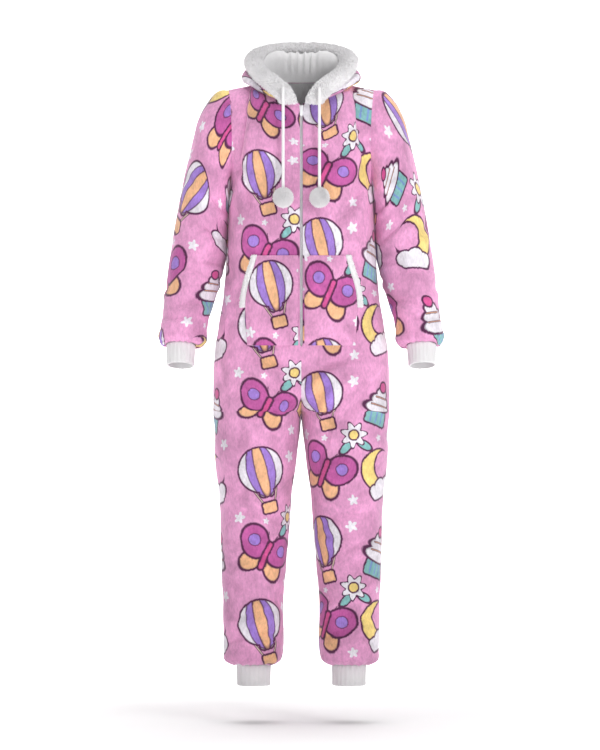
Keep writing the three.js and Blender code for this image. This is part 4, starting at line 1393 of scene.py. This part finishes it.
def knit_material(name, colour, nap):
    """Fine knit: small stitches in columns over a soft yarn."""
    material, tree, surface = material_tree(name, {"Roughness": 0.85, "Sheen Weight": 0.3})
    links = {"Scale": 170.0, "Distortion": 1.5, "Vector": place_on(tree)}
    yarn = add_node(tree, "ShaderNodeTexWave", links, bands_direction="Z").outputs["Fac"]
    tinted(tree, surface, colour, ramp(tree, yarn, 0, 1, 0.93, 1.02))
    fuzz = nap_node(tree, nap, 700.0, 60.0)
    bumped(tree, surface, Field(tree, yarn) * 0.5 + fuzz["Hairs"], 0.35, 0.0008)
    return material


def woven_material(name, colour, scale):
    """Plain weave for the zip tape and thread."""
    material, tree, surface = material_tree(name, {"Roughness": 0.75})
    links = {"Scale": scale, "Vector": place_on(tree)}
    weave = add_node(tree, "ShaderNodeTexChecker", links).outputs["Fac"]
    tinted(tree, surface, colour, ramp(tree, weave, 0, 1, 0.9, 1.05))
    bumped(tree, surface, weave, 0.3, 0.0004)
    return material


def metal_material(name, colour):
    """Satin metal with fine wear."""
    looks = {"Base Color": (*colour, 1), "Metallic": 0.2}
    material, tree, surface = material_tree(name, looks)
    links = {"Scale": 900.0, "Detail": 4.0, "Vector": place_on(tree)}
    grain = add_node(tree, "ShaderNodeTexNoise", links).outputs[0]
    plug(tree, surface.inputs["Roughness"], ramp(tree, grain, 0.3, 0.7, 0.26, 0.42))
    bumped(tree, surface, grain, 0.08, 0.0002)
    return material


def cord_material(name, colour):
    """A soft round braid, along the cord's own lines."""
    material, tree, surface = material_tree(name, {"Roughness": 0.9, "Sheen Weight": 0.35})
    spot = Spot(tree, cloth_place(tree))
    around, along = spot.part("X") * (6 * math.pi), spot.part("Y") * (2 * math.pi / 0.011)
    one, other = (
        strand.maths("SINE").maths("ABSOLUTE") for strand in (along + around, along - around)
    )
    braid = one.most(other)
    tinted(tree, surface, colour, ramp(tree, braid, 0.4, 1.0, 0.86, 1.02))
    bumped(tree, surface, braid, 0.5, 0.0008)
    return material


MATERIALS = {}


def make_materials(colours):
    nap = nap_group()
    fleece, backing, white, lining, tape, thread, metal = (
        tuple(getattr(colours, name))
        for name in ("fleece", "backing", "plush", "lining", "tape", "thread", "metal")
    )
    MATERIALS.update(
        printed=plush_material("Printed plush fleece", fleece, nap, printed=print_group(colours)),
        plain=plush_material("Plush fleece, plain side", backing, nap, contrast=0.08),
        white=plush_material("White plush", white, nap, hair=300.0, contrast=0.05, bump=0.7),
        pile=plush_material("White pile", white, nap, hair=500.0, contrast=0.06, bump=0.2),
        lining=plush_material("Hood lining", lining, nap, hair=500.0, contrast=0.05, bump=0.35),
        rib=knit_material("Rib knit", tuple(RIB_TONE * c for c in white), nap),
        tape=woven_material("Zip tape", tape, 1600.0),
        thread=woven_material("Thread", thread, 2500.0),
        metal=metal_material("Zip metal", metal),
        cord=cord_material("Cord braid", white),
    )


# ---------------------------------------------------------------- settings
PRINT_COLOURS = {
    "white": (0.76, 0.72, 0.78),
    "cream": (0.80, 0.66, 0.50),
    "peach": (0.82, 0.46, 0.26),
    "yellow": (0.82, 0.62, 0.22),
    "teal": (0.22, 0.46, 0.46),
    "blue": (0.20, 0.30, 0.60),
    "purple": (0.34, 0.20, 0.60),
    "rose": (0.60, 0.09, 0.28),
    "berry": (0.50, 0.11, 0.34),
    "line": (0.09, 0.025, 0.07),
}


def colour_setting(name, description, default):
    return bpy.props.FloatVectorProperty(
        name=name, description=description, subtype="COLOR", size=3, min=0, max=1, default=default
    )


def size_setting(name, description, default):
    return bpy.props.FloatProperty(
        name=name, description=description, default=default, min=0, unit="LENGTH"
    )


class OnesieColours(bpy.types.PropertyGroup):
    """Colours of the cloths, the print and the metal."""

    fleece: colour_setting("Fleece", "Ground of the printed plush fleece", (0.69, 0.315, 0.53))
    backing: colour_setting("Backing", "Plain side of the fleece", (0.86, 0.85, 0.86))
    plush: colour_setting("Plush", "White plush, cords and ribbing", (0.88, 0.87, 0.88))
    lining: colour_setting("Lining", "Hood lining", (0.80, 0.79, 0.80))
    tape: colour_setting("Zip tape", "Woven tape of the zip", (0.80, 0.77, 0.82))
    thread: colour_setting("Thread", "Sewing thread", (0.62, 0.22, 0.42))
    metal: colour_setting("Metal", "Zip teeth, slider and pull tab", (0.90, 0.90, 0.92))
    __annotations__.update(
        {
            name: colour_setting(f"Print {name}", f"The print's {name}", colour)
            for name, colour in PRINT_COLOURS.items()
        }
    )


class OnesieSizes(bpy.types.PropertyGroup):
    """Sizes of the fine detail."""

    pile_length: size_setting("Pile length", "Pile of the white plush edge", 0.0048)
    pile_width: size_setting("Tuft width", "Radius of one tuft of pile", 0.0011)
    pompom_pile: size_setting("Pompom pile", "Pile of the pompoms", 0.0052)
    rib_rise: size_setting("Rib rise", "Height of the cuffs' ribs", 0.0013)
    stitch_gap: size_setting("Stitch spacing", "From one stitch to the next", 0.0042)
    tooth_gap: size_setting("Tooth spacing", "From one zip tooth to the next", 0.0027)
    camera_distance: size_setting("Camera distance", "From the garment's middle", 8.0)


# ---------------------------------------------------------------- pieces
SIDES = (("left", False), ("right", True))
PANEL_SOLIDS = ("", "_waist", "_hips", "_thigh", "_shin")
PRINTED = ("printed", "plain")  # looks of the outer and inner face
STITCH = (0.8, 0.8, 2.6)  # width, thickness and length, in millimetres
# where each piece was cut from the printed cloth, across and down, in metres
CUT_FROM = {
    "front_left": (0.03, 0.05),
    "front_right": (0.16, 0.21),
    "back_left": (0.10, 0.12),
    "back_right": (0.22, 0.02),
    "sleeve_left": (0.06, 0.17),
    "sleeve_right": (0.19, 0.08),
    "hood_left": (0.02, 0.26),
    "hood_right": (0.13, 0.10),
    "pocket_left": (0.012, 0.157),
    "pocket_right": (0.142, 0.333),
}


def cloth_piece(node, walls, lines, looks, *, solids=None, closed=False, mirror=False):
    """A cloth wall with the looks of its two faces, standing for its solids."""
    shift = CUT_FROM.get(node, (0, 0))
    piece = wall_object(node, *walls, lines, closed=closed, mirror=mirror, shift=shift)
    paint(piece, *looks)
    finish_piece(piece, replaces=solids or [node])
    return piece


def flipped(mirror):
    return np.array([-1 if mirror else 1, 1, 1])


class MakingStep:
    """What the operators share: each makes its pieces from the panel's sizes."""

    def execute(self, context):
        self.make(context.scene.onesie_sizes)
        return {"FINISHED"}


class ONESIE_OT_drawstrings(MakingStep, bpy.types.Operator):
    """Makes the two drawstring ends with their pompoms"""

    bl_idname = "onesie.drawstrings"
    bl_label = "Drawstrings and pompoms"

    def make(self, sizes):
        for name, mirror in SIDES:
            path, middle = cord_path(-1 if mirror else 1)
            cord = tube_object(f"drawstring_{name}", cord_rings(path))
            paint(cord, "cord")
            finish_piece(cord, replaces=[f"drawstring_{name}"])
            ball = pompom(f"pompom_{name}", middle, sizes.pompom_pile, 7 if mirror else 3)
            finish_piece(ball, replaces=[f"pompom_{name}"])


def cord_path(side):
    """Points down a drawstring, from the band to its pompom, and the pompom's middle."""
    y = over_front(CORD_X, POMPOM_Z, POMPOM_RADIUS + SEAM + 0.2)[1]
    middle = np.array([side * CORD_X, y, POMPOM_Z])
    points = [np.array([side * CORD_X, y, z], float) for y, z in CORD_EXIT]
    last = points[-1]
    end = middle + [0, 0, POMPOM_RADIUS - POMPOM_TUFT + SEAM]
    points += [mix(last, end, k / 5) for k in range(1, 6)]
    return refined(np.array(points), 64, 0), middle


def cord_rings(path, columns=14):
    """Rings square to the cord."""
    ahead = unit(np.gradient(path, axis=0))
    aside = np.array([1.0, 0, 0]) + 0 * path
    deep = unit(np.cross(ahead, aside))
    angle = round_angles(columns)
    turn = np.stack([np.cos(angle), np.sin(angle)])[:, None, :, None]
    return path[:, None] + CORD_DIAMETER / 2 * (aside[:, None] * turn[0] + deep[:, None] * turn[1])


def pompom(name, middle, pile, seed):
    """A ball of trimmed pile."""
    shape = bmesh.new()
    core = POMPOM_RADIUS * MM - pile * 0.62
    bmesh.ops.create_icosphere(shape, subdivisions=4, radius=core)
    for vert in shape.verts:
        lump = noise.noise(vert.co * 90 + Vector((seed, 0, 0)))
        vert.co += vert.co.normalized() * lump * 0.0009
    bmesh.ops.translate(shape, verts=shape.verts, vec=Vector(middle) * MM)
    ball = bmesh_object(name, shape)
    ball.data.shade_smooth()
    paint(ball, "white")
    return add_pile(ball, density=900000.0, length=pile, width=0.0007, seed=seed, lean=0.35)


class ONESIE_OT_body(MakingStep, bpy.types.Operator):
    """Makes the front and back panels, each cut in one from neck to ankle"""

    bl_idname = "onesie.body"
    bl_label = "Body panels"

    def make(self, sizes):
        for part, side, creases, other in (
            ("front", -1, FRONT_CREASES, "back"),
            ("back", 1, BACK_CREASES, "front"),
        ):
            *walls, lines = dressed_panel(side, creases)
            for name, mirror in SIDES:
                solids = [f"{part}{solid}_{name}" for solid in PANEL_SOLIDS]
                panel = cloth_piece(f"{part}_{name}", walls, lines, PRINTED,
                                    solids=solids, mirror=mirror)
                declare_sheet(walls[0], lines)


class ONESIE_OT_sleeves(MakingStep, bpy.types.Operator):
    """Makes the two set-in sleeves"""

    bl_idname = "onesie.sleeves"
    bl_label = "Sleeves"

    def make(self, sizes):
        *walls, lines = sleeve_surface()
        for name, mirror in SIDES:
            solids = [f"sleeve_{name}", f"sleeve_forearm_{name}"]
            sleeve = cloth_piece(f"sleeve_{name}", walls, lines, PRINTED,
                                 solids=solids, closed=True, mirror=mirror)
            declare_sheet(walls[0], lines, True)


CUFF_COLUMNS = RIB_COUNT * 10
CUFF_LEVELS = np.array([0, 0.04, 0.1, 0.2, 0.35, 0.5, 0.65, 0.8, 0.88, 0.94, 0.975, 1.0])
CUFF_INSET = 1.2  # how far a cuff starts inside the edge that it is sewn to
WRIST_LEAN = math.radians(13)


def cuff_walls(row, axis, length, narrowing):
    """Outer and inner faces of a cuff along its axis, before its ribs."""
    outer, inner = [], []
    outer_x, outer_z, inner_x, inner_z, depth, y, tip = row
    for share in CUFF_LEVELS:
        down = np.array(axis) * length * share
        moved = (
            outer_x + down[0] - narrowing * share,
            outer_z + down[2],
            inner_x + down[0] + narrowing * share,
            inner_z + down[2],
            depth - narrowing * share,
            y + down[1],
            tip,
        )
        hem = 0.9 * bell(share, 0.95, 0.05) - 0.7 * bell(share, 0, 0.05)
        outer.append(ring_points(moved, CUFF_COLUMNS, hem))
        inner.append(ring_points(moved, CUFF_COLUMNS, hem * 0.3 - RIB_CLOTH))
    return np.array(outer), np.array(inner)


class ONESIE_OT_cuffs(MakingStep, bpy.types.Operator):
    """Makes the ribbed cuffs at the wrists and ankles"""

    bl_idname = "onesie.cuffs"
    bl_label = "Ribbed cuffs"

    def make(self, sizes):
        wrist_axis = unit([0.02, -math.sin(WRIST_LEAN), -math.cos(WRIST_LEAN)])
        away = wrist_axis * (SEAM + 0.1)
        inset = np.array([-CUFF_INSET, 0, CUFF_INSET, 0, -CUFF_INSET, 0, 0])
        wrist = SLEEVE[-1, 1:] + inset + [0, away[2], 0, away[2], 0, away[1], 0]
        inner_leg, outer_leg, front, back = LEG[0, 1:]
        ankle_z = LEG_END_Z - SEAM
        ankle = inset + [outer_leg, ankle_z, inner_leg, ankle_z, (front + back) / 2,
                         (back - front) / 2, 0]
        for part, row, axis, length, narrowing, above in (
            ("wrist_cuff", wrist, wrist_axis, 48, 3, "sleeve"),
            ("ankle_cuff", ankle, (0, 0, -1), 49, 2, "front"),
        ):
            outer, inner = cuff_walls(row, axis, length, narrowing)
            around = arc_lengths(closed_up(outer), 1)
            down = CUFF_LEVELS[:, None] * length + 0 * around
            lines = np.stack([around, down], axis=-1)
            for name, mirror in SIDES:
                node = f"{part}_{name}"
                cuff = wall_object(node, outer, inner, lines, closed=True, mirror=mirror)
                self.rib(cuff, outer.shape[:2], sizes.rib_rise)
                paint(cuff, "rib", "rib")
                finish_piece(cuff, replaces=[node])
                declare_sheet(outer, lines, True)

    def rib(self, cuff, shape, rise):
        """Keeps the share round the cuff on its points, then raises its ribs."""
        rows, columns = shape
        share = np.tile(np.linspace(0, 1, columns, endpoint=False), 2 * rows)
        level = np.repeat(CUFF_LEVELS, columns)
        ribbed = smooth(0, 0.05, level) * (0.45 + 0.55 * smooth(1.0, 0.9, level))
        ribbed = np.concatenate([ribbed, 0 * ribbed])
        for label, values in (("round", share), ("ribbed", ribbed)):
            attribute = cuff.data.attributes.new(label, "FLOAT", "POINT")
            attribute.data.foreach_set("value", values.astype(np.float32))
        run_nodes(cuff, tree_named(rib_tree), {"Count": RIB_COUNT, "Rise": rise})


# distance from the hood's middle, half width, depth of the lining's gathers
LINING_GATHERS = (
    (9, 3.2, 4.2),
    (17, 2.6, -2.3),
    (24, 3.4, 3.4),
    (33, 3.0, -1.9),
    (42, 4.0, 2.9),
    (56, 5.0, 2.1),
    (70, 6.0, 1.7),
)
HOOD_PLUMP = 8.0  # how far the hood's sides stand out past the solids


class ONESIE_OT_hood(MakingStep, bpy.types.Operator):
    """Makes the dropped hood: two pink sides and two lining sides"""

    bl_idname = "onesie.hood"
    bl_label = "Hood and lining"

    def make(self, sizes):
        face, normals = hood_surface()
        lines = cloth_lines(face)
        x, z = face[..., 0], face[..., 2]
        from_foot = arc_lengths(face, 0)
        from_band = from_foot[-1:] - from_foot
        from_back = arc_lengths(face, 1)
        rise = loft_noise(face, 40.0, 0.8) * smooth(0, 14, np.minimum(from_foot, from_band))
        rise += 0.8 * held(from_foot, 5) * held(from_back, 5)
        plump = smooth(70, 110, x) * bell(z, 38, 22)
        rise += HOOD_PLUMP * plump * smooth(0, 26, from_foot) * smooth(6, 40, from_band)
        rise *= smooth(0, 10, from_back)
        outer = face + normals * rise[..., None]
        crest = smooth(6, 30, from_foot) * smooth(150, 70, from_foot)
        gathers = np.zeros_like(crest)
        for at, width, depth in LINING_GATHERS:
            gathers += depth * bell(x, at, width)
        lining_out = face - normals * (HOOD_CLOTH + LINING_GAP)
        lining_in = lining_out - normals * (LINING + gathers * crest)[..., None]
        humps = (3.5 * bell(x, 62, 22) - 2.5 * bell(x, 0, 8)) * bell(from_foot, 72, 22)
        for layer in (lining_out, lining_in):
            layer[:, 0, 0] = SEAM_CLOSED
            layer[..., 2] += humps
        outer_back = outer - normals * (HOOD_CLOTH + np.maximum(rise, 0))[..., None]
        for name, mirror in SIDES:
            node = f"hood_{name}"
            hood = cloth_piece(node, (outer, outer_back), lines, PRINTED,
                               mirror=mirror)
            declare_sheet(outer, lines)
            lining = cloth_piece(f"hood_lining_{name}", (lining_out, lining_in), lines,
                                 ("lining", "lining"), mirror=mirror)
            declare_sheet(lining_in, lines)


class ONESIE_OT_band(MakingStep, bpy.types.Operator):
    """Makes the plush roll round the hood's edge"""

    bl_idname = "onesie.band"
    bl_label = "Plush edge"

    def make(self, sizes):
        band = tube_object("hood_band", band_rings(sizes.pile_length / MM))
        paint(band, "white")
        add_pile(band, density=230000.0, length=sizes.pile_length, width=sizes.pile_width, seed=5,
                 lean=0.6)
        finish_piece(band, replaces=["hood_band"])


# shares of the roll's section in the rings that round off each end
BAND_END_SHARES = (0.35, 0.72, 0.92)


def band_rings(pile):
    """Rings of the roll from its left end round the back to its right end."""
    columns, steps = 30, 110
    rightward = np.array([-1.0, 0, 0])
    wide, thick = TRIM_HALF_WIDTH - 0.5 * pile, TRIM_HALF_THICK - 0.45 * pile
    angle = round_angles(columns)[:, None]
    half = []
    for k in range(steps + 1):
        turn = 1 - k / steps
        centre, face = band_row(turn)
        ahead, behind = band_row(max(0, turn - 0.01))[0], band_row(min(1, turn + 0.01))[0]
        along = rightward if turn < 0.01 else unit(ahead - behind)
        across = unit(mix(unit(np.cross(face, along)), rightward, smooth(0.9, 1, turn)))
        normal = unit(np.cross(along, across))
        if normal[1] * face[1] + normal[2] * face[2] < 0:
            normal = -normal
        half.append(centre + across * wide * np.cos(angle) + normal * thick * np.sin(angle))
    half = np.array(half)
    rings = np.concatenate([half, half[:-1][::-1] * [-1, 1, 1]])
    middles = rings.mean(axis=1, keepdims=True)
    lumps = loft_noise(rings, 17.0, 1.6) + loft_noise(rings, 7.0, 0.7)
    rings = rings + unit(rings - middles) * lumps[..., None]
    starting, closing = (
        [mix(middles[end], rings[end], s) + [0, 0, -2.4 * (1 - s) + 0.4] for s in shares]
        for end, shares in ((0, BAND_END_SHARES), (-1, BAND_END_SHARES[::-1]))
    )
    return np.concatenate([np.array(starting), rings, np.array(closing)])


def pocket_edge(z):
    """Outer edge of a pocket at a height: the slanted mouth, then the side."""
    if z > POCKET_CORNER_Z:
        t = (POCKET_TOP_Z - z) / (POCKET_TOP_Z - POCKET_CORNER_Z)
        return mix(POCKET_TOP_X, POCKET_CORNER_X, math.sin(t * math.pi / 2) ** 1.2)
    t = (POCKET_CORNER_Z - z) / (POCKET_CORNER_Z - POCKET_BOTTOM_Z)
    return mix(POCKET_CORNER_X, POCKET_BOTTOM_X, t)


# across, height, half length, half width, depth, lean, bow
POCKET_CREASES = (
    (40, -410, 34, 8, 1.3, 20, 5),
    (84, -440, 42, 9, 1.8, 34, -6),
    (54, -500, 46, 9, 1.6, 70, 7),
    (96, -530, 34, 8, 1.8, 58, 5),
)


def pocket_grids():
    """Outer and inner face of the left pocket, and its flat lines."""
    rows, columns = 42, 26
    grid, under = np.zeros((2, rows, columns, 3))
    lines = np.zeros((rows, columns, 2))
    for j, z in enumerate(np.linspace(POCKET_TOP_Z, POCKET_BOTTOM_Z, rows)):
        edge = pocket_edge(z)
        for i, x in enumerate(np.linspace(POCKET_INNER_X, edge, columns)):
            away = min(x - POCKET_INNER_X, edge - x, POCKET_TOP_Z - z, z - POCKET_BOTTOM_Z)
            bulge = POCKET_BULGE * math.sin(math.pi * i / (columns - 1))
            bulge *= math.sin(math.pi * j / (rows - 1))
            crease = crease_rise(np.array([x]), np.array([z]), POCKET_CREASES)[0]
            bulge = max(0, bulge + (crease + 0.8) * float(smooth(0, 14, away)))
            grid[j, i] = over_front(x, z, ON_PANEL + FLEECE + bulge - 1.6 * math.exp(-away / 4))
            under[j, i] = over_front(x, z, ON_PANEL - 0.6 + max(0, bulge - 0.6))
            lines[j, i] = x * 1.08, -z
    return grid, under, lines


def binding_grids():
    """Outer and inner face of the left pocket's bound mouth: a soft half round."""
    rows, columns = 44, 13
    outer, inner = np.zeros((2, rows, columns, 3))
    for j, z in enumerate(np.linspace(POCKET_TOP_Z, POCKET_CORNER_Z, rows)):
        edge = pocket_edge(z) + SEAM + 0.2
        for i, s in enumerate(np.linspace(0, 1, columns)):
            dome = math.sin(math.pi * min(max(s, 0.02), 0.98)) ** 0.5
            lift = ON_PANEL + 0.5 + BINDING_THICK * dome
            outer[j, i] = over_front(edge + BINDING_WIDTH * s, z, lift)
            inner[j, i] = over_front(edge + BINDING_WIDTH * s, z, ON_PANEL - 0.4)
    return outer, inner


class ONESIE_OT_pockets(MakingStep, bpy.types.Operator):
    """Makes the pouch pockets with their bound mouths and top stitching"""

    bl_idname = "onesie.pockets"
    bl_label = "Pockets"

    def make(self, sizes):
        outer, inner, lines = pocket_grids()
        bound = binding_grids()
        bound_lines = cloth_lines(bound[0])
        side_seam = outer[24:40, -3] + [0, -0.4, 0]
        floor_seam = outer[-3, 2:24] + [0, -0.4, 0]
        for name, mirror in SIDES:
            pocket = cloth_piece(f"pocket_{name}", (outer, inner), lines, PRINTED,
                                 mirror=mirror)
            seams = [side_seam * flipped(mirror), floor_seam * flipped(mirror)]
            stitches = row_of_parts(
                f"pocket_stitching_{name}", seams, sizes.stitch_gap, STITCH, "thread"
            )
            finish_piece(stitches)
            declare_sheet(outer, lines)
            node = f"pocket_binding_{name}"
            binding = wall_object(node, *bound, bound_lines, mirror=mirror)
            paint(binding, "white", "white")
            add_pile(binding, density=260000.0, length=0.0028, width=0.0008, seed=11)
            finish_piece(binding, replaces=[node])


def zip_line(depth, x):
    """A line down the zip at a depth behind the cloth's face, x from the middle."""
    points = []
    for j in range(1, len(ZIP_ROWS)):
        if ZIP_ROWS[j] < ZIP_BOTTOM_Z - 2:
            break
        edge, beside, normal = FRONT_GRID[j, 0], FRONT_GRID[j, 2], FRONT_NORMALS[j, 0]
        p = mix(edge, beside, clamp((x - edge[0]) / (beside[0] - edge[0])))
        points.append([x, p[1] - normal[1] * depth, p[2] - normal[2] * depth])
    return np.array(points)


class ONESIE_OT_zip(MakingStep, bpy.types.Operator):
    """Makes the zip tapes with their teeth and top stitching"""

    bl_idname = "onesie.zip"
    bl_label = "Zip"

    def make(self, sizes):
        columns = (SEAM / 2, 1.4, 2.8, 5, 8, 11, ZIP_TAPE_HALF)
        walls = [
            np.stack([zip_line(depth, x) for x in columns], axis=1)
            for depth in (ZIP_TAPE_DEPTH, ZIP_TAPE_DEPTH + ZIP_TAPE_THICK)
        ]
        lines = cloth_lines(walls[0])
        for name, mirror in SIDES:
            flip = flipped(mirror)
            cloth_piece(f"zip_tape_{name}", walls, lines, ("tape", "tape"),
                        mirror=mirror)
            # the right row starts one point lower, so that the teeth stand between each other
            row = zip_line(ZIP_TAPE_DEPTH - 1.0, 1.15)[1 if mirror else 0 :] * flip
            teeth = row_of_parts(f"zip_teeth_{name}", [row], sizes.tooth_gap, ZIP_TOOTH, "metal")
            finish_piece(teeth)
            row = zip_line(0.4, 9.5) * flip
            stitches = row_of_parts(
                f"zip_stitching_{name}", [row], sizes.stitch_gap, STITCH, "thread"
            )
            finish_piece(stitches)


ZIP_TOOTH = (2.3, 2.4, 1.7)  # width, depth and height, in millimetres
# x and z down the left edge, as shares of the slider's half width and half length
SLIDER_OUTLINE = ((1, 1), (0.9, 0.2), (0.66, -1))
# x as a share of the tab's half width, z as a share of its length
TAB_OUTLINE = ((0.62, 0), (0.62, -4 / 21), (1, -7 / 21), (1, -18.6 / 21), (0.6, -1))


def both_edges(corners, wide, tall):
    """An outline of two like edges, up the right edge and down the left."""
    left = [(-x * wide, z * tall) for x, z in corners]
    return (left + [(-x, z) for x, z in left[::-1]])[::-1]


def box_middle(name):
    """Depth of a solid's middle, with its top and bottom, in millimetres."""
    low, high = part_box(name)
    return (low[1] + high[1]) / 2 / MM, high[2] / MM, low[2] / MM


class ONESIE_OT_slider(MakingStep, bpy.types.Operator):
    """Makes the zip's slider and its pull tab"""

    bl_idname = "onesie.slider"
    bl_label = "Slider and pull tab"

    def make(self, sizes):
        y = box_middle("zip_slider")[0]
        outline = both_edges(SLIDER_OUTLINE, SLIDER_WIDTH / 2, SLIDER_LENGTH / 2)
        middle = (0, y, SLIDER_TOP_Z - SLIDER_LENGTH / 2)
        slider = outline_object("zip_slider_body", outline, SLIDER_THICK, middle, 0.5)
        paint(slider, "metal")
        finish_piece(slider, replaces=["zip_slider"])
        y, top, bottom = box_middle("zip_pull_tab")
        outline = both_edges(TAB_OUTLINE, TAB_WIDTH / 2, top - bottom)
        tab = outline_object("zip_pull", outline, TAB_THICK, (0, y, top), 0.45)
        paint(tab, "metal")
        finish_piece(tab, body="pull_tab", replaces=["zip_pull_tab"])


# ---------------------------------------------------------------- stage
CAMERA_PLACE = (-0.003, -0.64)  # aside and height
CAMERA_LENS, CAMERA_SENSOR = 167.0, 36
FLOOR_Z = -1.44
FLOOR_START, FLOOR_END, WALL_CURVE, WALL_TOP = -12.0, 10.0, 2.0, 8.0
FLOOR_HALF_WIDTH = 14.0
FLOOR_COLOUR = (0.93, 0.93, 0.93)
# near and far distance from the neck, and the floor's own glow at each
FLOOR_GLOW = (1.52, 2.3, 0.0, 0.9)
# name, place, aim, size, watts
LIGHTS = (
    ("Key", (2.3, -3.2, 0.9), (0, 0, -0.55), (1.4, 2.2), 60),
    ("Fill", (-2.9, -2.2, 0.3), (0, 0, -0.6), (1.2, 2.2), 10),
)
SUN_STRENGTH, SUN_SPREAD = 2.4, math.radians(48)
WORLD_STRENGTH = 0.10


def floor_line():
    """Points in y and z along the floor and up the curve behind it."""
    turns = np.radians(np.arange(10, 91, 10)).tolist()
    curve = [
        (FLOOR_END + WALL_CURVE * math.sin(a), FLOOR_Z + WALL_CURVE * (1 - math.cos(a)))
        for a in turns
    ]
    ends = (FLOOR_START, FLOOR_Z), (FLOOR_END, FLOOR_Z)
    return [*ends, *curve, (FLOOR_END + WALL_CURVE, WALL_TOP)]


class ONESIE_OT_stage(MakingStep, bpy.types.Operator):
    """Makes the pale floor, the soft studio lights and the camera"""

    bl_idname = "onesie.stage"
    bl_label = "Stage"

    def make(self, sizes):
        scene = bpy.context.scene
        aside, height = CAMERA_PLACE
        lens = bpy.data.cameras.new("Camera")
        lens.lens, lens.sensor_width = CAMERA_LENS, CAMERA_SENSOR
        scene.camera = new_object("Camera", lens, (aside, -sizes.camera_distance, height))
        scene.camera.rotation_euler = (math.radians(90), 0, 0)
        self.backdrop()
        for name, place, aim, size, power in LIGHTS:
            lamp = bpy.data.lights.new(name, "AREA")
            lamp.shape = "RECTANGLE"
            lamp.size, lamp.size_y = size
            lamp.energy = power
            toward = (Vector(aim) - Vector(place)).to_track_quat("-Z", "Y")
            new_object(name, lamp, place).rotation_euler = toward.to_euler()
        overhead = bpy.data.lights.new("Overhead", "SUN")
        overhead.energy, overhead.angle = SUN_STRENGTH, SUN_SPREAD
        new_object("Overhead", overhead)
        scene.world = bpy.data.worlds.new("Studio")
        scene.world.use_nodes = True
        sky = scene.world.node_tree.nodes["Background"].inputs
        sky["Color"].default_value = (1, 1, 1, 1)
        sky["Strength"].default_value = WORLD_STRENGTH
        scene.view_settings.view_transform = "Standard"

    def backdrop(self):
        """A floor that curves up behind into a wall."""
        line = floor_line()
        wide = FLOOR_HALF_WIDTH
        points = [(x, y, z) for y, z in line for x in (-wide, wide)]
        faces = [(2 * k, 2 * k + 1, 2 * k + 3, 2 * k + 2) for k in range(len(line) - 1)]
        mesh = bpy.data.meshes.new("floor")
        mesh.from_pydata(points, [], faces)
        mesh.shade_smooth()
        floor = new_object("floor", mesh)
        looks = {"Roughness": 0.9, "Emission Color": (1, 1, 1, 1)}
        MATERIALS["floor"], tree, surface = material_tree("Pale floor", looks)
        place = place_on(tree)
        grain = add_node(tree, "ShaderNodeTexNoise", {"Scale": 3.0, "Vector": place}).outputs[0]
        tinted(tree, surface, FLOOR_COLOUR, ramp(tree, grain, 0.3, 0.7, 0.985, 1.0))
        glow = ramp(tree, Spot(tree, place).vector_maths("LENGTH"), *FLOOR_GLOW)
        plug(tree, surface.inputs["Emission Strength"], glow)
        paint(floor, "floor")


class ONESIE_PT_panel(bpy.types.Panel):
    """Lists the operators and settings"""

    bl_idname = "ONESIE_PT_panel"
    bl_label = "Onesie"
    bl_space_type = "VIEW_3D"
    bl_region_type = "UI"
    bl_category = "Onesie"

    def draw(self, context):
        for operator in OPERATORS:
            self.layout.operator(operator.bl_idname)
        for settings in (context.scene.onesie_sizes, context.scene.onesie_colours):
            box = self.layout.box()
            for key in settings.bl_rna.properties.keys():
                if key not in ("rna_type", "name"):
                    box.prop(settings, key)


OPERATORS = (
    ONESIE_OT_stage,
    ONESIE_OT_drawstrings,
    ONESIE_OT_body,
    ONESIE_OT_sleeves,
    ONESIE_OT_cuffs,
    ONESIE_OT_hood,
    ONESIE_OT_band,
    ONESIE_OT_pockets,
    ONESIE_OT_zip,
    ONESIE_OT_slider,
)
CLASSES = (OnesieSizes, OnesieColours, *OPERATORS, ONESIE_PT_panel)


def register():
    for kind in CLASSES:
        bpy.utils.register_class(kind)
    bpy.types.Scene.onesie_sizes = bpy.props.PointerProperty(type=OnesieSizes)
    bpy.types.Scene.onesie_colours = bpy.props.PointerProperty(type=OnesieColours)


def unregister():
    del bpy.types.Scene.onesie_colours
    del bpy.types.Scene.onesie_sizes
    for kind in reversed(CLASSES):
        bpy.utils.unregister_class(kind)


def main():
    register()
    make_materials(bpy.context.scene.onesie_colours)
    for operator in OPERATORS:
        area, name = operator.bl_idname.split(".")
        getattr(getattr(bpy.ops, area), name)()


if __name__ == "__main__":
    main()
